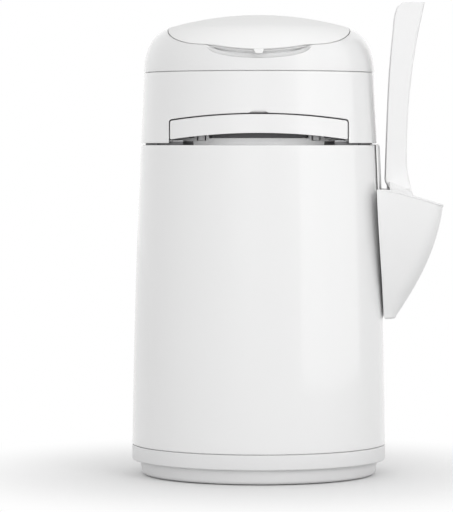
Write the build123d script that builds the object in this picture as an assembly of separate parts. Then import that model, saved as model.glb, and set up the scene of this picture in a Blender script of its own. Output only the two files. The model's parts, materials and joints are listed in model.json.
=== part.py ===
from build123d import *
from math import asin, atan, cos, pi, radians, sin, sqrt, tan
import os

# Litter disposal pail, in millimetres. +Z is up, -Y is the front, and the origin is
# on the floor under the middle of the bucket. Every level section of the pail is an
# oval: a turned shape squeezed front to back by PLAN_RATIO.

# ---- pail body ---------------------------------------------------------------
PLAN_RATIO = 0.9
WALL = 2.6
FOOT_HALF_WIDTH = 113.0
FOOT_HEIGHT = 14.7
FOOT_EDGE_RADIUS = 5.0
SKIRT_HALF_WIDTH = 120.5
SKIRT_HEIGHT = 14.2
SEAM = 0.6
BUCKET_HEIGHT = 283.5
RIM_HALF_WIDTH = 112.2
BUCKET_BULGE = 1.1
BUCKET_FLOOR = 3.0
BUCKET_FLOOR_LIFT = 1.5
BUCKET_CORNER_RADIUS = 12.0
PAN_FLOOR = 2.8
PAD_STAND = 0.8
PAD_THICKNESS = 2.2
PAD_HALF_WIDTH = 104.0
PAD_BREADTH = 9.0
LIP = 1.8
FIT = 0.3

# ---- head --------------------------------------------------------------------
HEAD_GAP = 1.8
HEAD_HEIGHT = 66.2
HEAD_TOP_HALF_WIDTH = 109.2
HEAD_WALL = 2.4
SPIGOT_DEPTH = 7.0
SPIGOT_CLEARANCE = 2.1
FRAME_FLOOR = 2.4

# ---- handle opening and pull handle ------------------------------------------
OPENING_SIDE = 28.9
OPENING_RISE = 27.7
OPENING_ARCH = 6.0
OPENING_CORNER = 2.5
NOTCH_RISE = 1.6
NOTCH_BASE = 8.9
NOTCH_TOP = 5.8
HANDLE_GAP = 1.1
HANDLE_HEIGHT = 17.2
HANDLE_THICKNESS = 8.0
HANDLE_EDGE = 1.2

# ---- sliding jaw -------------------------------------------------------------
PLATE_LEVEL = 13.4
PLATE_THICKNESS = 2.4
PLATE_SIDE = 32.2
JAW_SIDE = 50.2
JAW_LINE = 25.1
JAW_DEPTH = 8.0
JAW_DROP = 8.2
JAW_RISE = 10.0
PAD_GAP = 0.4
JAW_PAD = 3.8
PEG_RADIUS = 3.0
PEG_INSET = 17.0
RIB_SIDE = 59.2
RIB_WIDTH = 6.0
RAIL_CLEARANCE = 0.3
RAIL_WALL = 2.4
RAIL_GRIP = 3.2
ARM_WIDTH = 6.5
ARM_HEIGHT = 4.4
RAIL_FRONT = -52.0
RAIL_BACK = 42.0
SPRING_POST_Y = 60.0
SPRING_SIDE = 40.2
FRONT_WALL_INSET = 20.0
FRONT_WALL_THICKNESS = 2.4
FRONT_WALL_DROP = 2.0
WINDOW_SIDE = 66.2
SIDE_WINDOW = (52.0, 45.7)
SPIGOT_SIDE = 42.2
STOP_BEHIND_WALL = 20.98
STOP_SIDE = 9.0
WINDOW_SILL = 2.2
CHUTE_SIDE = 52.2
CHUTE_HALF_DEPTH = 27.0
CHUTE_CORNER = 12.0
DECK_LEVEL = 28.2
DECK_THICKNESS = 2.4

# ---- release bar -------------------------------------------------------------
BAR_DEPTH = 4.0
BAR_HEIGHT = 6.4
HOOK_SIDE = 15.0
HOOK_WIDTH = 8.0
HOOK_LEVEL = -6.5
HOOK_THICKNESS = 2.6
HOOK_BEHIND_WALL = 9.5
CATCH_LEVEL = -4.0
CATCH_THICKNESS = 2.4
CATCH_SIDE = 67.2
CATCH_DEPTH = 16.0
CATCH_CLEARANCE = 0.5

# ---- refill cassette ---------------------------------------------------------
TRAY_INSET = 17.2
TRAY_DEPTH_LESS = 3.8
TUBE_INSET = (30.0, 32.0)
TRAY_WALL = 1.6
TRAY_HEIGHT = 41.5
RING_HEIGHT = 6.0
RING_OVERHANG = 3.0
FILM_CLEARANCE = 1.0

# ---- dome cover and lid ------------------------------------------------------
DOME_SIDE = 3.7
BROW_RADIUS = 64.0
BROW_TURN = 70.0
SHOULDER_RADIUS = 32.0
CROWN_RADIUS = 305.0
LID_SIDE = 24.1
LID_FRONT_INSET = 3.8
LID_EDGE = ((0.5288, 0.5), (0.7521, 2.2), (0.8989, 6.1), (0.9753, 10.9), (1.0, 15.3))
LID_CENTRE = -32.0
LID_BACK = 44.0
LID_GAP = 0.6
LID_LEDGE = 9.0
LEDGE_DROP = 4.0
SEAL_THICKNESS = 1.2
SEAL_FRONT = -57.0
TONGUE_SHARE = 0.4935
TONGUE_DROP = 3.9
RECESS_SHARE = 0.5582
RECESS_LIFT = 22.4
LID_OVER_RECESS = 1.1
RECESS_DROP = 11.4
RECESS_RISE = 4.0
RECESS_DEPTH = 9.0
TAB_BASE = 4.6
TAB_TIP = 3.1
TAB_DROP = 4.4
FUNNEL_CLEARANCE = 2.0

# ---- hinges, springs and fasteners -------------------------------------------
HEAD_KNUCKLE = 4.2
COVER_KNUCKLE = 3.6
LID_KNUCKLE = 2.8
PIN_RADIUS = 1.5
PIN_CLEARANCE = 0.08
KNUCKLE_HALF = 13.0
KNUCKLE_SIDE = 11.0
KNUCKLE_GAP = 0.5
SPRING_WIRE = 0.5
SCREW_RADIUS = 1.5
SCREW_HEAD = 3.0
SCREW_HEAD_HEIGHT = 1.8
BOSS_RADIUS = 4.5
SCREW_CLEARANCE = 0.2
SHELL_BOSS_HEIGHT = 15.0
SHELL_SCREW_INSET = 3.2
SHELL_SCREW_TURNS = (23.4, 64.3, -29.0)
DECK_SCREW_OUT = 5.8
DECK_SCREW_TURNS = (-19.5, 29.6)
BASE_SCREW_SHARE = 0.553

# ---- scoop and its holder ----------------------------------------------------
STRAP_HALF_WIDTH = 24.0
STRAP_THICKNESS = 2.2
STRAP_OVERLAP = 12.0
HOOK_OVER = 1.0
HOOK_DOWN = 9.0
HOOK_WALL = 1.2
POCKET_WALL = 2.0
POCKET_UNDER_RIM = 41.6
POCKET_HEIGHT = 122.9
POCKET_LIP_DROP = 13.5
POCKET_FLOOR = 2.5
POCKET_DEPTH = 59.9
POCKET_SWELL = 1.9
POCKET_HALF_WIDTH = 50.0
POCKET_FOOT_HALF_WIDTH = 17.0
POCKET_FOOT_DEPTH = 10.5
POCKET_CORNER = 16.0
POCKET_WRAP = 4.9
SCOOP_WALL = 2.0
SCOOP_CLEARANCE = 1.5
GRIP_LENGTH = 175.7
GRIP_WIDTH = 30.0
GRIP_BACK = ((24.6, 0.0), (20.8, 18.0), (20.3, 46.0), (22.8, 90.0), (28.8, 136.0), (36.9, 175.7))
GRIP_FRONT = ((15.8, 175.7), (8.0, 153.0), (4.4, 113.0), (2.2, 68.0), (0.0, 0.0))
BLADE_LENGTH = 109.0
BLADE_WIDTH = 86.0
BLADE_TIP_WIDTH = 40.0
BLADE_DEPTH = 25.3
BLADE_TIP_DEPTH = 5.3
BLADE_SHOULDER = 14.0
SLOT_WIDTH = 5.0
SLOT_COUNT = 7
SLOT_TOP_MARGIN = 14.0
SLOT_LENGTH = 60.0
SLOT_FALL = 1.15

# ---- levels worked out from the sizes above ----------------------------------
skirt_top = FOOT_HEIGHT + SKIRT_HEIGHT
bucket_bottom = skirt_top + SEAM
rim = bucket_bottom + BUCKET_HEIGHT
head_bottom = rim + HEAD_GAP
head_top = head_bottom + HEAD_HEIGHT
dome_bottom = head_top + SEAM
floor_level = bucket_bottom + BUCKET_FLOOR_LIFT
frame_floor_top = head_bottom + FRAME_FLOOR
plate_bottom = head_bottom + PLATE_LEVEL
plate_top = plate_bottom + PLATE_THICKNESS
deck_bottom = head_bottom + DECK_LEVEL
deck_top = deck_bottom + DECK_THICKNESS
opening_top = head_bottom + OPENING_RISE
rim_inside = RIM_HALF_WIDTH - WALL
head_inside = RIM_HALF_WIDTH - HEAD_WALL
frame_half_width = head_inside - FIT
beyond = 2 * SKIRT_HALF_WIDTH
opening_half_width = RIM_HALF_WIDTH - OPENING_SIDE
plate_half_width = RIM_HALF_WIDTH - PLATE_SIDE
jaw_half_width = RIM_HALF_WIDTH - JAW_SIDE
rib_inset = RIM_HALF_WIDTH - RIB_SIDE
peg_x = jaw_half_width - PEG_INSET
chute_half_width = RIM_HALF_WIDTH - CHUTE_SIDE
window_half_width = RIM_HALF_WIDTH - WINDOW_SIDE
catch_half_width = RIM_HALF_WIDTH - CATCH_SIDE
hook_x = catch_half_width - HOOK_SIDE
stop_half_width = catch_half_width - STOP_SIDE
spigot_gap = RIM_HALF_WIDTH - SPIGOT_SIDE
front_wall = (RIM_HALF_WIDTH - FRONT_WALL_INSET, RIM_HALF_WIDTH * PLAN_RATIO - FRONT_WALL_INSET)
stop_wall_y = STOP_BEHIND_WALL - front_wall[1]
tray_half_width = min(RIM_HALF_WIDTH, HEAD_TOP_HALF_WIDTH) - TRAY_INSET
tray_half = (tray_half_width, tray_half_width * PLAN_RATIO - TRAY_DEPTH_LESS)
tube_half = (tray_half[0] - TUBE_INSET[0], tray_half[1] - TUBE_INSET[1])
lid_half_width = HEAD_TOP_HALF_WIDTH - LID_SIDE
lid_front = LID_FRONT_INSET - HEAD_TOP_HALF_WIDTH * PLAN_RATIO
tongue_half_width = lid_half_width * TONGUE_SHARE
recess_half_width = lid_half_width * RECESS_SHARE
head_hinge_y = RIM_HALF_WIDTH * PLAN_RATIO + HEAD_KNUCKLE + KNUCKLE_GAP
head_hinge_z = rim + HEAD_GAP / 2
cover_hinge_y = HEAD_TOP_HALF_WIDTH * PLAN_RATIO + COVER_KNUCKLE + KNUCKLE_GAP
cover_hinge_z = head_top + SEAM / 2
pin_bore = PIN_RADIUS + PIN_CLEARANCE
recess_level = dome_bottom + RECESS_LIFT
lid_level = recess_level + LID_OVER_RECESS
pocket_top = rim - POCKET_UNDER_RIM
pocket_bottom = pocket_top - POCKET_HEIGHT


# ---- shared shapes -----------------------------------------------------------
def turned(outline):
    """Turn a closed (x, z) outline about the pail's axis: the round form before squeezing."""
    return revolve(make_face(Plane.XZ * outline), Axis.Z)


def squeezed(round_form):
    """Squeeze a round form front to back to the pail's oval plan."""
    return scale(round_form, by=(1, PLAN_RATIO, 1))


def round_post(x, y, z0, z1, radius):
    """Post for a round form, which the squeeze turns into a true cylinder at (x, y)."""
    return Pos(x, y / PLAN_RATIO, z0) * extrude(Ellipse(radius, radius / PLAN_RATIO), z1 - z0)


def round_block(x0, x1, y0, y1, z0, z1):
    """Box for a round form, which the squeeze brings to its stated size."""
    return block(x0, x1, y0 / PLAN_RATIO, y1 / PLAN_RATIO, z0, z1)


def bowed(low, high, bulge):
    """Side line from low to high that stands out by bulge half-way up."""
    middle = ((low[0] + high[0]) / 2 + bulge, (low[1] + high[1]) / 2)
    return ThreePointArc(low, middle, high)


def bucket_half_width(z):
    """Half-width of the bucket's outside at level z."""
    up = (z - bucket_bottom) / BUCKET_HEIGHT
    chord = SKIRT_HALF_WIDTH + (RIM_HALF_WIDTH - SKIRT_HALF_WIDTH) * up
    return chord + BUCKET_BULGE * 4 * up * (1 - up)


pocket_back = bucket_half_width(pocket_top) + FIT
scoop_mouth = pocket_top + 0.5
scoop_front = bucket_half_width(pocket_bottom) + FIT + POCKET_WALL + SCOOP_CLEARANCE


def head_half_width(z):
    """Half-width of the head's outside at level z."""
    up = (z - head_bottom) / HEAD_HEIGHT
    return RIM_HALF_WIDTH + (HEAD_TOP_HALF_WIDTH - RIM_HALF_WIDTH) * up


def oval_prism(half_width, half_depth, low, high, y=0.0):
    """Upright oval block between two levels."""
    return Pos(0, y, low) * extrude(Ellipse(half_width, half_depth), high - low)


def oval_band(half, thickness, low, high, y=0.0):
    """Upright oval wall: half holds the outer half-width and half-depth."""
    plan = Ellipse(*half) - Ellipse(half[0] - thickness, half[1] - thickness)
    return Pos(0, y, low) * extrude(plan, high - low)


def block(x0, x1, y0, y1, z0, z1):
    """Box between two opposite corners."""
    centre = Pos((x0 + x1) / 2, (y0 + y1) / 2, (z0 + z1) / 2)
    return centre * Box(abs(x1 - x0), abs(y1 - y0), abs(z1 - z0))


def post(x, y, z0, z1, radius):
    """Upright cylinder between two levels."""
    return Pos(x, y, (z0 + z1) / 2) * Cylinder(radius, z1 - z0)


def cross_rod(x0, x1, y, z, radius):
    """Cylinder along X."""
    return Pos((x0 + x1) / 2, y, z) * Rot(0, 90, 0) * Cylinder(radius, x1 - x0)


def screw(x, y, head_level, length, up=1):
    """Pan-head screw whose shank leaves the head upwards (up=1) or downwards (up=-1)."""
    outer = head_level - up * SCREW_HEAD_HEIGHT
    head = post(x, y, min(outer, head_level), max(outer, head_level), SCREW_HEAD)
    low, high = sorted((head_level, head_level + up * length))
    socket = post(x, y, outer - 1, outer + 1, SCREW_RADIUS / 2)
    return head + post(x, y, low, high, SCREW_RADIUS - SCREW_CLEARANCE / 4) - socket


def knuckles(y, z, radius, spans, wall_y, low, high):
    """Hinge knuckles along X at (y, z), each on a block that reaches the wall."""
    parts = []
    for x0, x1 in spans:
        web = block(x0, x1, wall_y, y, low, high)
        parts.append(cross_rod(x0, x1, y, z, radius) + web)
    bore = cross_rod(-60, 60, y, z, pin_bore)
    return [part - bore for part in parts]


def side_spans():
    """Both outer knuckles of a hinge."""
    near = KNUCKLE_HALF + KNUCKLE_GAP
    far = near + KNUCKLE_SIDE
    return [(-far, -near), (near, far)]


def hinge_pin(y, z):
    """Plain steel pin through all three knuckles."""
    half = KNUCKLE_HALF + KNUCKLE_GAP + KNUCKLE_SIDE
    return cross_rod(-half, half, y, z, PIN_RADIUS)


# ---- bucket side -------------------------------------------------------------
screw_x = FOOT_HALF_WIDTH * BASE_SCREW_SHARE
screw_y = screw_x * PLAN_RATIO
screw_spots = [(-screw_x, -screw_y), (screw_x, -screw_y), (-screw_x, screw_y), (screw_x, screw_y)]
pilot_radius = SCREW_RADIUS
boss_end = floor_level - 13.0


def bucket_shell():
    low, high = (SKIRT_HALF_WIDTH, bucket_bottom), (RIM_HALF_WIDTH, rim)
    inner_low = (SKIRT_HALF_WIDTH - WALL, floor_level + BUCKET_FLOOR)
    inner_high = (rim_inside, rim)
    bottom = Polyline(
        (0, floor_level),
        (SKIRT_HALF_WIDTH - WALL, floor_level),
        (SKIRT_HALF_WIDTH - WALL, bucket_bottom),
        low,
    )
    side = bowed(low, high, BUCKET_BULGE) + Line(high, inner_high)
    inside = bowed(inner_high, inner_low, BUCKET_BULGE)
    close = Polyline(inner_low, (0, floor_level + BUCKET_FLOOR), (0, floor_level))
    face = make_face(Plane.XZ * (bottom + side + inside + close))
    corner = face.vertices().sort_by_distance((inner_low[0], 0, inner_low[1]))[0]
    face = fillet(corner, BUCKET_CORNER_RADIUS)
    shell = squeezed(revolve(face, Axis.Z))
    wall_y = (RIM_HALF_WIDTH - 1) * PLAN_RATIO
    ears = knuckles(
        head_hinge_y, head_hinge_z, HEAD_KNUCKLE, side_spans(), wall_y, rim - 14, rim - 0.4
    )
    bosses = [post(x, y, boss_end, floor_level + 0.5, BOSS_RADIUS) for x, y in screw_spots]
    pilots = [post(x, y, boss_end - 1, floor_level + 0.6, pilot_radius) for x, y in screw_spots]
    return shell + ears + [boss - pilot for boss, pilot in zip(bosses, pilots)]


def base_pan():
    foot_bottom = PAD_STAND
    foot = FOOT_HALF_WIDTH
    edge = FOOT_EDGE_RADIUS
    outer = Polyline((0, foot_bottom), (foot - 2 - edge, foot_bottom))
    outer += ThreePointArc(
        (foot - 2 - edge, foot_bottom),
        (foot - 2 - edge * (1 - cos(pi / 4)), foot_bottom + edge * (1 - cos(pi / 4))),
        (foot - 2, foot_bottom + edge),
    )
    outer += Polyline(
        (foot - 2, foot_bottom + edge),
        (foot, FOOT_HEIGHT),
        (SKIRT_HALF_WIDTH - 1.5, FOOT_HEIGHT),
        (SKIRT_HALF_WIDTH, FOOT_HEIGHT + 1.5),
        (SKIRT_HALF_WIDTH, skirt_top),
        (SKIRT_HALF_WIDTH - WALL - FIT, skirt_top),
        (SKIRT_HALF_WIDTH - WALL - FIT, floor_level - FIT),
        (SKIRT_HALF_WIDTH - WALL - FIT - LIP, floor_level - FIT),
        (SKIRT_HALF_WIDTH - WALL - FIT - LIP, FOOT_HEIGHT + WALL),
        (foot - WALL, FOOT_HEIGHT + WALL),
        (foot - 2 - WALL, foot_bottom + PAN_FLOOR),
        (0, foot_bottom + PAN_FLOOR),
        (0, foot_bottom),
    )
    pan = squeezed(turned(outer))
    pillars = [post(x, y, foot_bottom, boss_end - FIT, BOSS_RADIUS) for x, y in screw_spots]
    cuts = []
    for x, y in screw_spots:
        cuts.append(post(x, y, 0, boss_end, SCREW_RADIUS + SCREW_CLEARANCE))
        cuts.append(post(x, y, 0, foot_bottom + SCREW_HEAD_HEIGHT + 1, SCREW_HEAD + FIT))
    return pan + pillars - cuts - foot_band(FIT / 2)


def foot_band(grow):
    """Oval band under the foot, grown all round by grow."""
    half = PAD_HALF_WIDTH + grow
    depth = PAD_HALF_WIDTH * PLAN_RATIO + grow
    return oval_band((half, depth), PAD_BREADTH + 2 * grow, 0, PAD_THICKNESS)


def base_screws():
    head_level = PAD_STAND + SCREW_HEAD_HEIGHT + 1
    length = floor_level - head_level - 1.0
    return [screw(x, y, head_level, length) for x, y in screw_spots]


catch_screw_x = catch_half_width - 9.0


def catch_wall_y(x):
    """Inside face of the bucket's front wall at x, under the rim."""
    return -PLAN_RATIO * sqrt(rim_inside**2 - x**2)


def latch_catch():
    top = rim + CATCH_LEVEL
    outer = oval_prism(rim_inside - FIT, rim_inside * PLAN_RATIO - FIT, top - CATCH_DEPTH, top)
    inner_half = (rim_inside - FIT - 2, rim_inside * PLAN_RATIO - FIT - 2)
    inner = oval_prism(*inner_half, top - CATCH_DEPTH - 1, top + 1)
    shelf_edge = -front_wall[1] + FRONT_WALL_THICKNESS + 1.6
    half = catch_half_width
    shelf = outer & block(-half, half, -beyond, shelf_edge, top - CATCH_THICKNESS, top)
    flange = (outer - inner) & block(-half, half, -beyond, stop_wall_y, top - CATCH_DEPTH, top)
    holes = [catch_screw_hole(x) for x in (-catch_screw_x, catch_screw_x)]
    return shelf + flange - holes


def catch_screw_hole(x):
    level = rim + CATCH_LEVEL - 10
    return Pos(x, -80, level) * Rot(90, 0, 0) * Cylinder(SCREW_RADIUS + SCREW_CLEARANCE, 60)


def catch_screws():
    screws = []
    level = rim + CATCH_LEVEL - 10
    for x in (-catch_screw_x, catch_screw_x):
        face_y = catch_wall_y(x) + FIT + 3.4
        head = Pos(x, face_y + SCREW_HEAD_HEIGHT / 2, level) * Rot(90, 0, 0)
        head *= Cylinder(SCREW_HEAD, SCREW_HEAD_HEIGHT)
        shank = Pos(x, face_y - 1.5, level) * Rot(90, 0, 0) * Cylinder(SCREW_RADIUS, 3.2)
        screws.append(head + shank)
    return screws


def cutter_housing():
    """Bag cutter on the bucket's left wall, under the rim, open upwards."""
    x0 = -rim_inside + 1.4
    body = block(x0, x0 + 9, -14, 14, rim - 34, rim - 12)
    body = body & oval_prism(rim_inside - 1.0, rim_inside * PLAN_RATIO, rim - 40, rim)
    slot = block(x0 + 3.2, x0 + 5.8, -15, 7, rim - 26, rim - 11)
    return body - slot


def cutter_blade():
    x0 = -rim_inside + 1.4 + 4.3
    blade = block(x0, x0 + 0.5, -6, 6.6, rim - 25.8, rim - 17)
    bevel = Pos(x0, -6, rim - 17) * Rot(45, 0, 0) * Box(4, 9, 9)
    return blade - bevel


# ---- head side ---------------------------------------------------------------
shell_boss_top = frame_floor_top + SHELL_BOSS_HEIGHT


def oval_spot(reach, turn):
    """Point of the plan oval of a half-width, at a turn in degrees from +X."""
    return (reach * cos(radians(turn)), reach * sin(radians(turn)) * PLAN_RATIO)


boss_end_half_widths = (head_half_width(head_bottom), head_half_width(shell_boss_top))
shell_screw_reach = min(boss_end_half_widths) - HEAD_WALL - SHELL_SCREW_INSET
shell_screw_spots = [oval_spot(shell_screw_reach, turn) for turn in SHELL_SCREW_TURNS]
deck_screw_reach = tray_half_width + DECK_SCREW_OUT
deck_screw_spots = [oval_spot(deck_screw_reach, turn) for turn in DECK_SCREW_TURNS]


def both_sides(spots):
    return [(sign * x, y) for x, y in spots for sign in (-1, 1)]


def opening_outline(gap):
    """Face of the handle opening in the XZ plane, drawn in by gap on all sides."""
    half = opening_half_width - gap
    top = opening_top - gap
    low = top - OPENING_ARCH
    side = Line((-half, head_bottom - 5), (-half, low))
    arch = ThreePointArc((-half, low), (0, top), (half, low))
    rest = Polyline((half, low), (half, head_bottom - 5), (-half, head_bottom - 5))
    face = make_face(Plane.XZ * (side + arch + rest))
    upper = face.vertices().sort_by(Axis.Z)[-2:]
    return fillet(upper, OPENING_CORNER)


def notch_face():
    top = opening_top + NOTCH_RISE
    low = opening_top - 4
    spread = NOTCH_BASE + (NOTCH_BASE - NOTCH_TOP) * 4 / NOTCH_RISE
    outline = Polyline((-spread, low), (-NOTCH_TOP, top), (NOTCH_TOP, top), (spread, low), (-spread, low))
    return make_face(Plane.XZ * outline)


def forward(face, reach=beyond):
    """Prism of an XZ face that runs to the front."""
    return extrude(face, reach, dir=(0, -1, 0))


def head_form(inset, low=head_bottom, high=head_top):
    """Round form of the head's outside, drawn in by inset."""
    a, b = head_half_width(low) - inset, head_half_width(high) - inset
    return turned(Polyline((0, low), (a, low), (b, high), (0, high), (0, low)))


def head_shell():
    outer = head_form(0)
    shell = outer - head_form(HEAD_WALL, head_bottom - 1, head_top + 1)
    shell = squeezed(shell - [forward(opening_outline(0)), forward(notch_face())])
    bosses = []
    for x, y in both_sides(shell_screw_spots):
        pilot = post(x, y, frame_floor_top - 1, shell_boss_top - 3, pilot_radius)
        bosses.append(post(x, y, frame_floor_top, shell_boss_top, BOSS_RADIUS) - pilot)
    middle = knuckles(
        head_hinge_y,
        head_hinge_z,
        HEAD_KNUCKLE,
        [(-KNUCKLE_HALF, KNUCKLE_HALF)],
        (RIM_HALF_WIDTH - 1) * PLAN_RATIO,
        head_bottom + 0.1,
        head_bottom + 12,
    )
    ears = knuckles(
        cover_hinge_y,
        cover_hinge_z,
        COVER_KNUCKLE,
        side_spans(),
        (HEAD_TOP_HALF_WIDTH - 1) * PLAN_RATIO,
        head_top - 12,
        head_top - 0.2,
    )
    return shell + bosses + middle + ears


def frame_screws():
    level = head_bottom
    return [screw(x, y, level, 13.0) for x, y in both_sides(shell_screw_spots)]


rail_outer = plate_half_width + RAIL_CLEARANCE + 0.5 + RAIL_WALL
spring_x = RIM_HALF_WIDTH - SPRING_SIDE
spring_level = plate_top + 5.4


def chute_block(grow, low, high):
    half_x, half_y = chute_half_width + grow, CHUTE_HALF_DEPTH + grow
    face = RectangleRounded(2 * half_x, 2 * half_y, CHUTE_CORNER)
    return Pos(0, 0, low) * extrude(face, high - low)


def jaw_frame():
    depth = frame_half_width * PLAN_RATIO
    floor_plate = oval_prism(frame_half_width, depth, head_bottom + FIT / 2, frame_floor_top)
    wall_x, wall_y = front_wall
    front_zone = block(
        -opening_half_width, opening_half_width, -beyond, 0, head_bottom - 1, frame_floor_top + 1
    ) - oval_prism(wall_x, wall_y, head_bottom - 2, frame_floor_top + 2)
    hook_slot = block(
        -catch_half_width,
        catch_half_width,
        -wall_y + FRONT_WALL_THICKNESS + 0.4,
        stop_wall_y - 1.0,
        head_bottom - 1,
        frame_floor_top + 1,
    )
    spigot_x = rim_inside - SPIGOT_CLEARANCE
    spigot_y = rim_inside * PLAN_RATIO - 1.5
    spigot = oval_band((spigot_x, spigot_y), 2.0, head_bottom - SPIGOT_DEPTH, frame_floor_top)
    spigot_low = head_bottom - SPIGOT_DEPTH - 1
    front_cut = block(-spigot_gap, spigot_gap, -beyond, 0, spigot_low, frame_floor_top + 1)
    notches = [
        post(x, y, spigot_low, head_bottom + FIT / 2, SCREW_HEAD + 2 * FIT)
        for x, y in both_sides(shell_screw_spots)
    ]
    spigot = spigot - [front_cut] - notches
    wall_top = plate_bottom - 2.4
    wall = oval_band(front_wall, FRONT_WALL_THICKNESS, rim - FRONT_WALL_DROP, wall_top)
    wall = wall & block(-rail_outer, rail_outer, -beyond, -30, 0, head_top)
    side_window = [RIM_HALF_WIDTH - inset for inset in SIDE_WINDOW]
    side_sill = frame_floor_top + WINDOW_SILL + 0.4
    windows = [
        block(-window_half_width, window_half_width, -beyond, -50, frame_floor_top + WINDOW_SILL, head_top)
    ]
    for side in (-1, 1):
        x0 = side * (rib_inset - RIB_WIDTH / 2 - 1.2)
        x1 = side * (rib_inset + RIB_WIDTH / 2 + 1.2)
        windows.append(block(x0, x1, -beyond, -40, head_bottom + 0.8, head_top))
        windows.append(
            block(side * side_window[0], side * side_window[1], -beyond, -30, side_sill, head_top)
        )
    wall = wall - windows
    rails = []
    grip = plate_half_width - RAIL_GRIP + RAIL_CLEARANCE
    lower = plate_bottom - RAIL_CLEARANCE
    upper = plate_top + RAIL_CLEARANCE
    for side in (-1, 1):
        inner_x = side * (rail_outer - RAIL_WALL)
        rails.append(
            block(inner_x, side * rail_outer, RAIL_FRONT, RAIL_BACK, frame_floor_top - 1, upper + 2.4)
        )
        rails.append(
            block(side * grip, inner_x + side, RAIL_FRONT, RAIL_BACK, lower - 2.4, lower)
        )
        rails.append(
            block(side * grip, inner_x + side, RAIL_FRONT, RAIL_BACK, upper, upper + 2.4)
        )
        rails.append(
            block(
                side * (spring_x - 4),
                side * (spring_x + 4),
                SPRING_POST_Y,
                SPRING_POST_Y + 4,
                frame_floor_top - 1,
                spring_level + 4,
            )
        )
    stop = block(
        -stop_half_width,
        stop_half_width,
        stop_wall_y,
        stop_wall_y + 2,
        frame_floor_top - 1,
        frame_floor_top + BAR_HEIGHT,
    )
    pillars = [
        post(x, y, frame_floor_top - 1, deck_bottom, BOSS_RADIUS - 0.5)
        - post(x, y, deck_bottom - 12, deck_bottom + 1, pilot_radius)
        for x, y in both_sides(deck_screw_spots)
    ]
    holes = [
        post(x, y, head_bottom - 1, frame_floor_top + 1, SCREW_RADIUS + SCREW_CLEARANCE)
        for x, y in both_sides(shell_screw_spots)
    ]
    peg_y = rear_jaw_y() + JAW_DEPTH / 2 + 1
    pegs = [
        post(x, peg_y, head_bottom - 1, frame_floor_top + 1, PEG_RADIUS + FIT / 2)
        for x in (-peg_x, peg_x)
    ]
    frame = floor_plate - [front_zone, hook_slot]
    frame = frame + [spigot, wall, stop] + rails + pillars
    chute = chute_block(0, head_bottom - 1, frame_floor_top + 1)
    return frame - [chute] - holes - pegs


def rear_jaw_y():
    return JAW_LINE + PAD_GAP / 2 + JAW_PAD * 0.7


def rear_jaw():
    y0 = rear_jaw_y()
    y1 = y0 + JAW_DEPTH + 2
    low, high = plate_bottom - JAW_DROP, plate_top + JAW_RISE
    half, wall = jaw_half_width, 2.4
    beam = block(-half, half, y0, y1, low, high)
    hollow = block(-half + 3, half - 3, y0 + wall, y1 + 1, low + wall, high - wall)
    ribs = [block(x - 1, x + 1, y0 + 1, y1, low, high) for x in (-40, -20, 0, 20, 40)]
    feet = []
    for side in (-1, 1):
        feet.append(
            block(side * (peg_x - 7), side * (peg_x + 9), y0, y1, frame_floor_top, low + 1)
        )
        peg_y = y0 + JAW_DEPTH / 2 + 1
        feet.append(post(side * peg_x, peg_y, head_bottom + FIT, frame_floor_top + 1, PEG_RADIUS))
    return beam - hollow + ribs + feet


def rear_jaw_pad():
    y0 = JAW_LINE + PAD_GAP / 2
    low, high = plate_bottom - JAW_DROP + 1, plate_top + JAW_RISE - 1
    return block(-jaw_half_width + 2, jaw_half_width - 2, y0, rear_jaw_y(), low, high)


def chute_deck():
    plate = head_form(HEAD_WALL + 2 * FIT, deck_bottom, deck_top)
    plate = squeezed(plate)
    skirt = chute_block(2.0, deck_bottom - 1.4, deck_bottom + 1)
    cuts = [chute_block(0, deck_bottom - 5, deck_top + 1)]
    for x, y in both_sides(deck_screw_spots):
        cuts.append(post(x, y, deck_bottom - 1, deck_top + 1, SCREW_RADIUS + SCREW_CLEARANCE))
        cuts.append(post(x, y, deck_top - 1.2, deck_top + 1, SCREW_HEAD + FIT))
    rim_ring = oval_band((tray_half[0] + 3.5, tray_half[1] + 3.5), 2.0, deck_top - 0.5, deck_top + 5)
    return plate + [skirt, rim_ring] - cuts


def deck_screws():
    level = deck_top - 1.2
    return [screw(x, y, level, 11.0, -1) for x, y in both_sides(deck_screw_spots)]


def coil(x, y0, y1, z, radius, turns):
    """Closed-coil spring along Y."""
    length = y1 - y0 - 2 * SPRING_WIRE
    path = Helix(pitch=length / turns, height=length, radius=radius)
    start = path @ 0
    wire = sweep(Plane(origin=start, z_dir=path % 0) * Circle(SPRING_WIRE), path)
    return Pos(x, y0 + SPRING_WIRE, z) * Rot(-90, 0, 0) * wire


def return_springs():
    y0, y1 = JAW_LINE - PAD_GAP / 2 - JAW_PAD, SPRING_POST_Y
    return [coil(x, y0 + 0.2, y1 - 0.2, spring_level, 3.0, 14) for x in (-spring_x, spring_x)]


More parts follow.
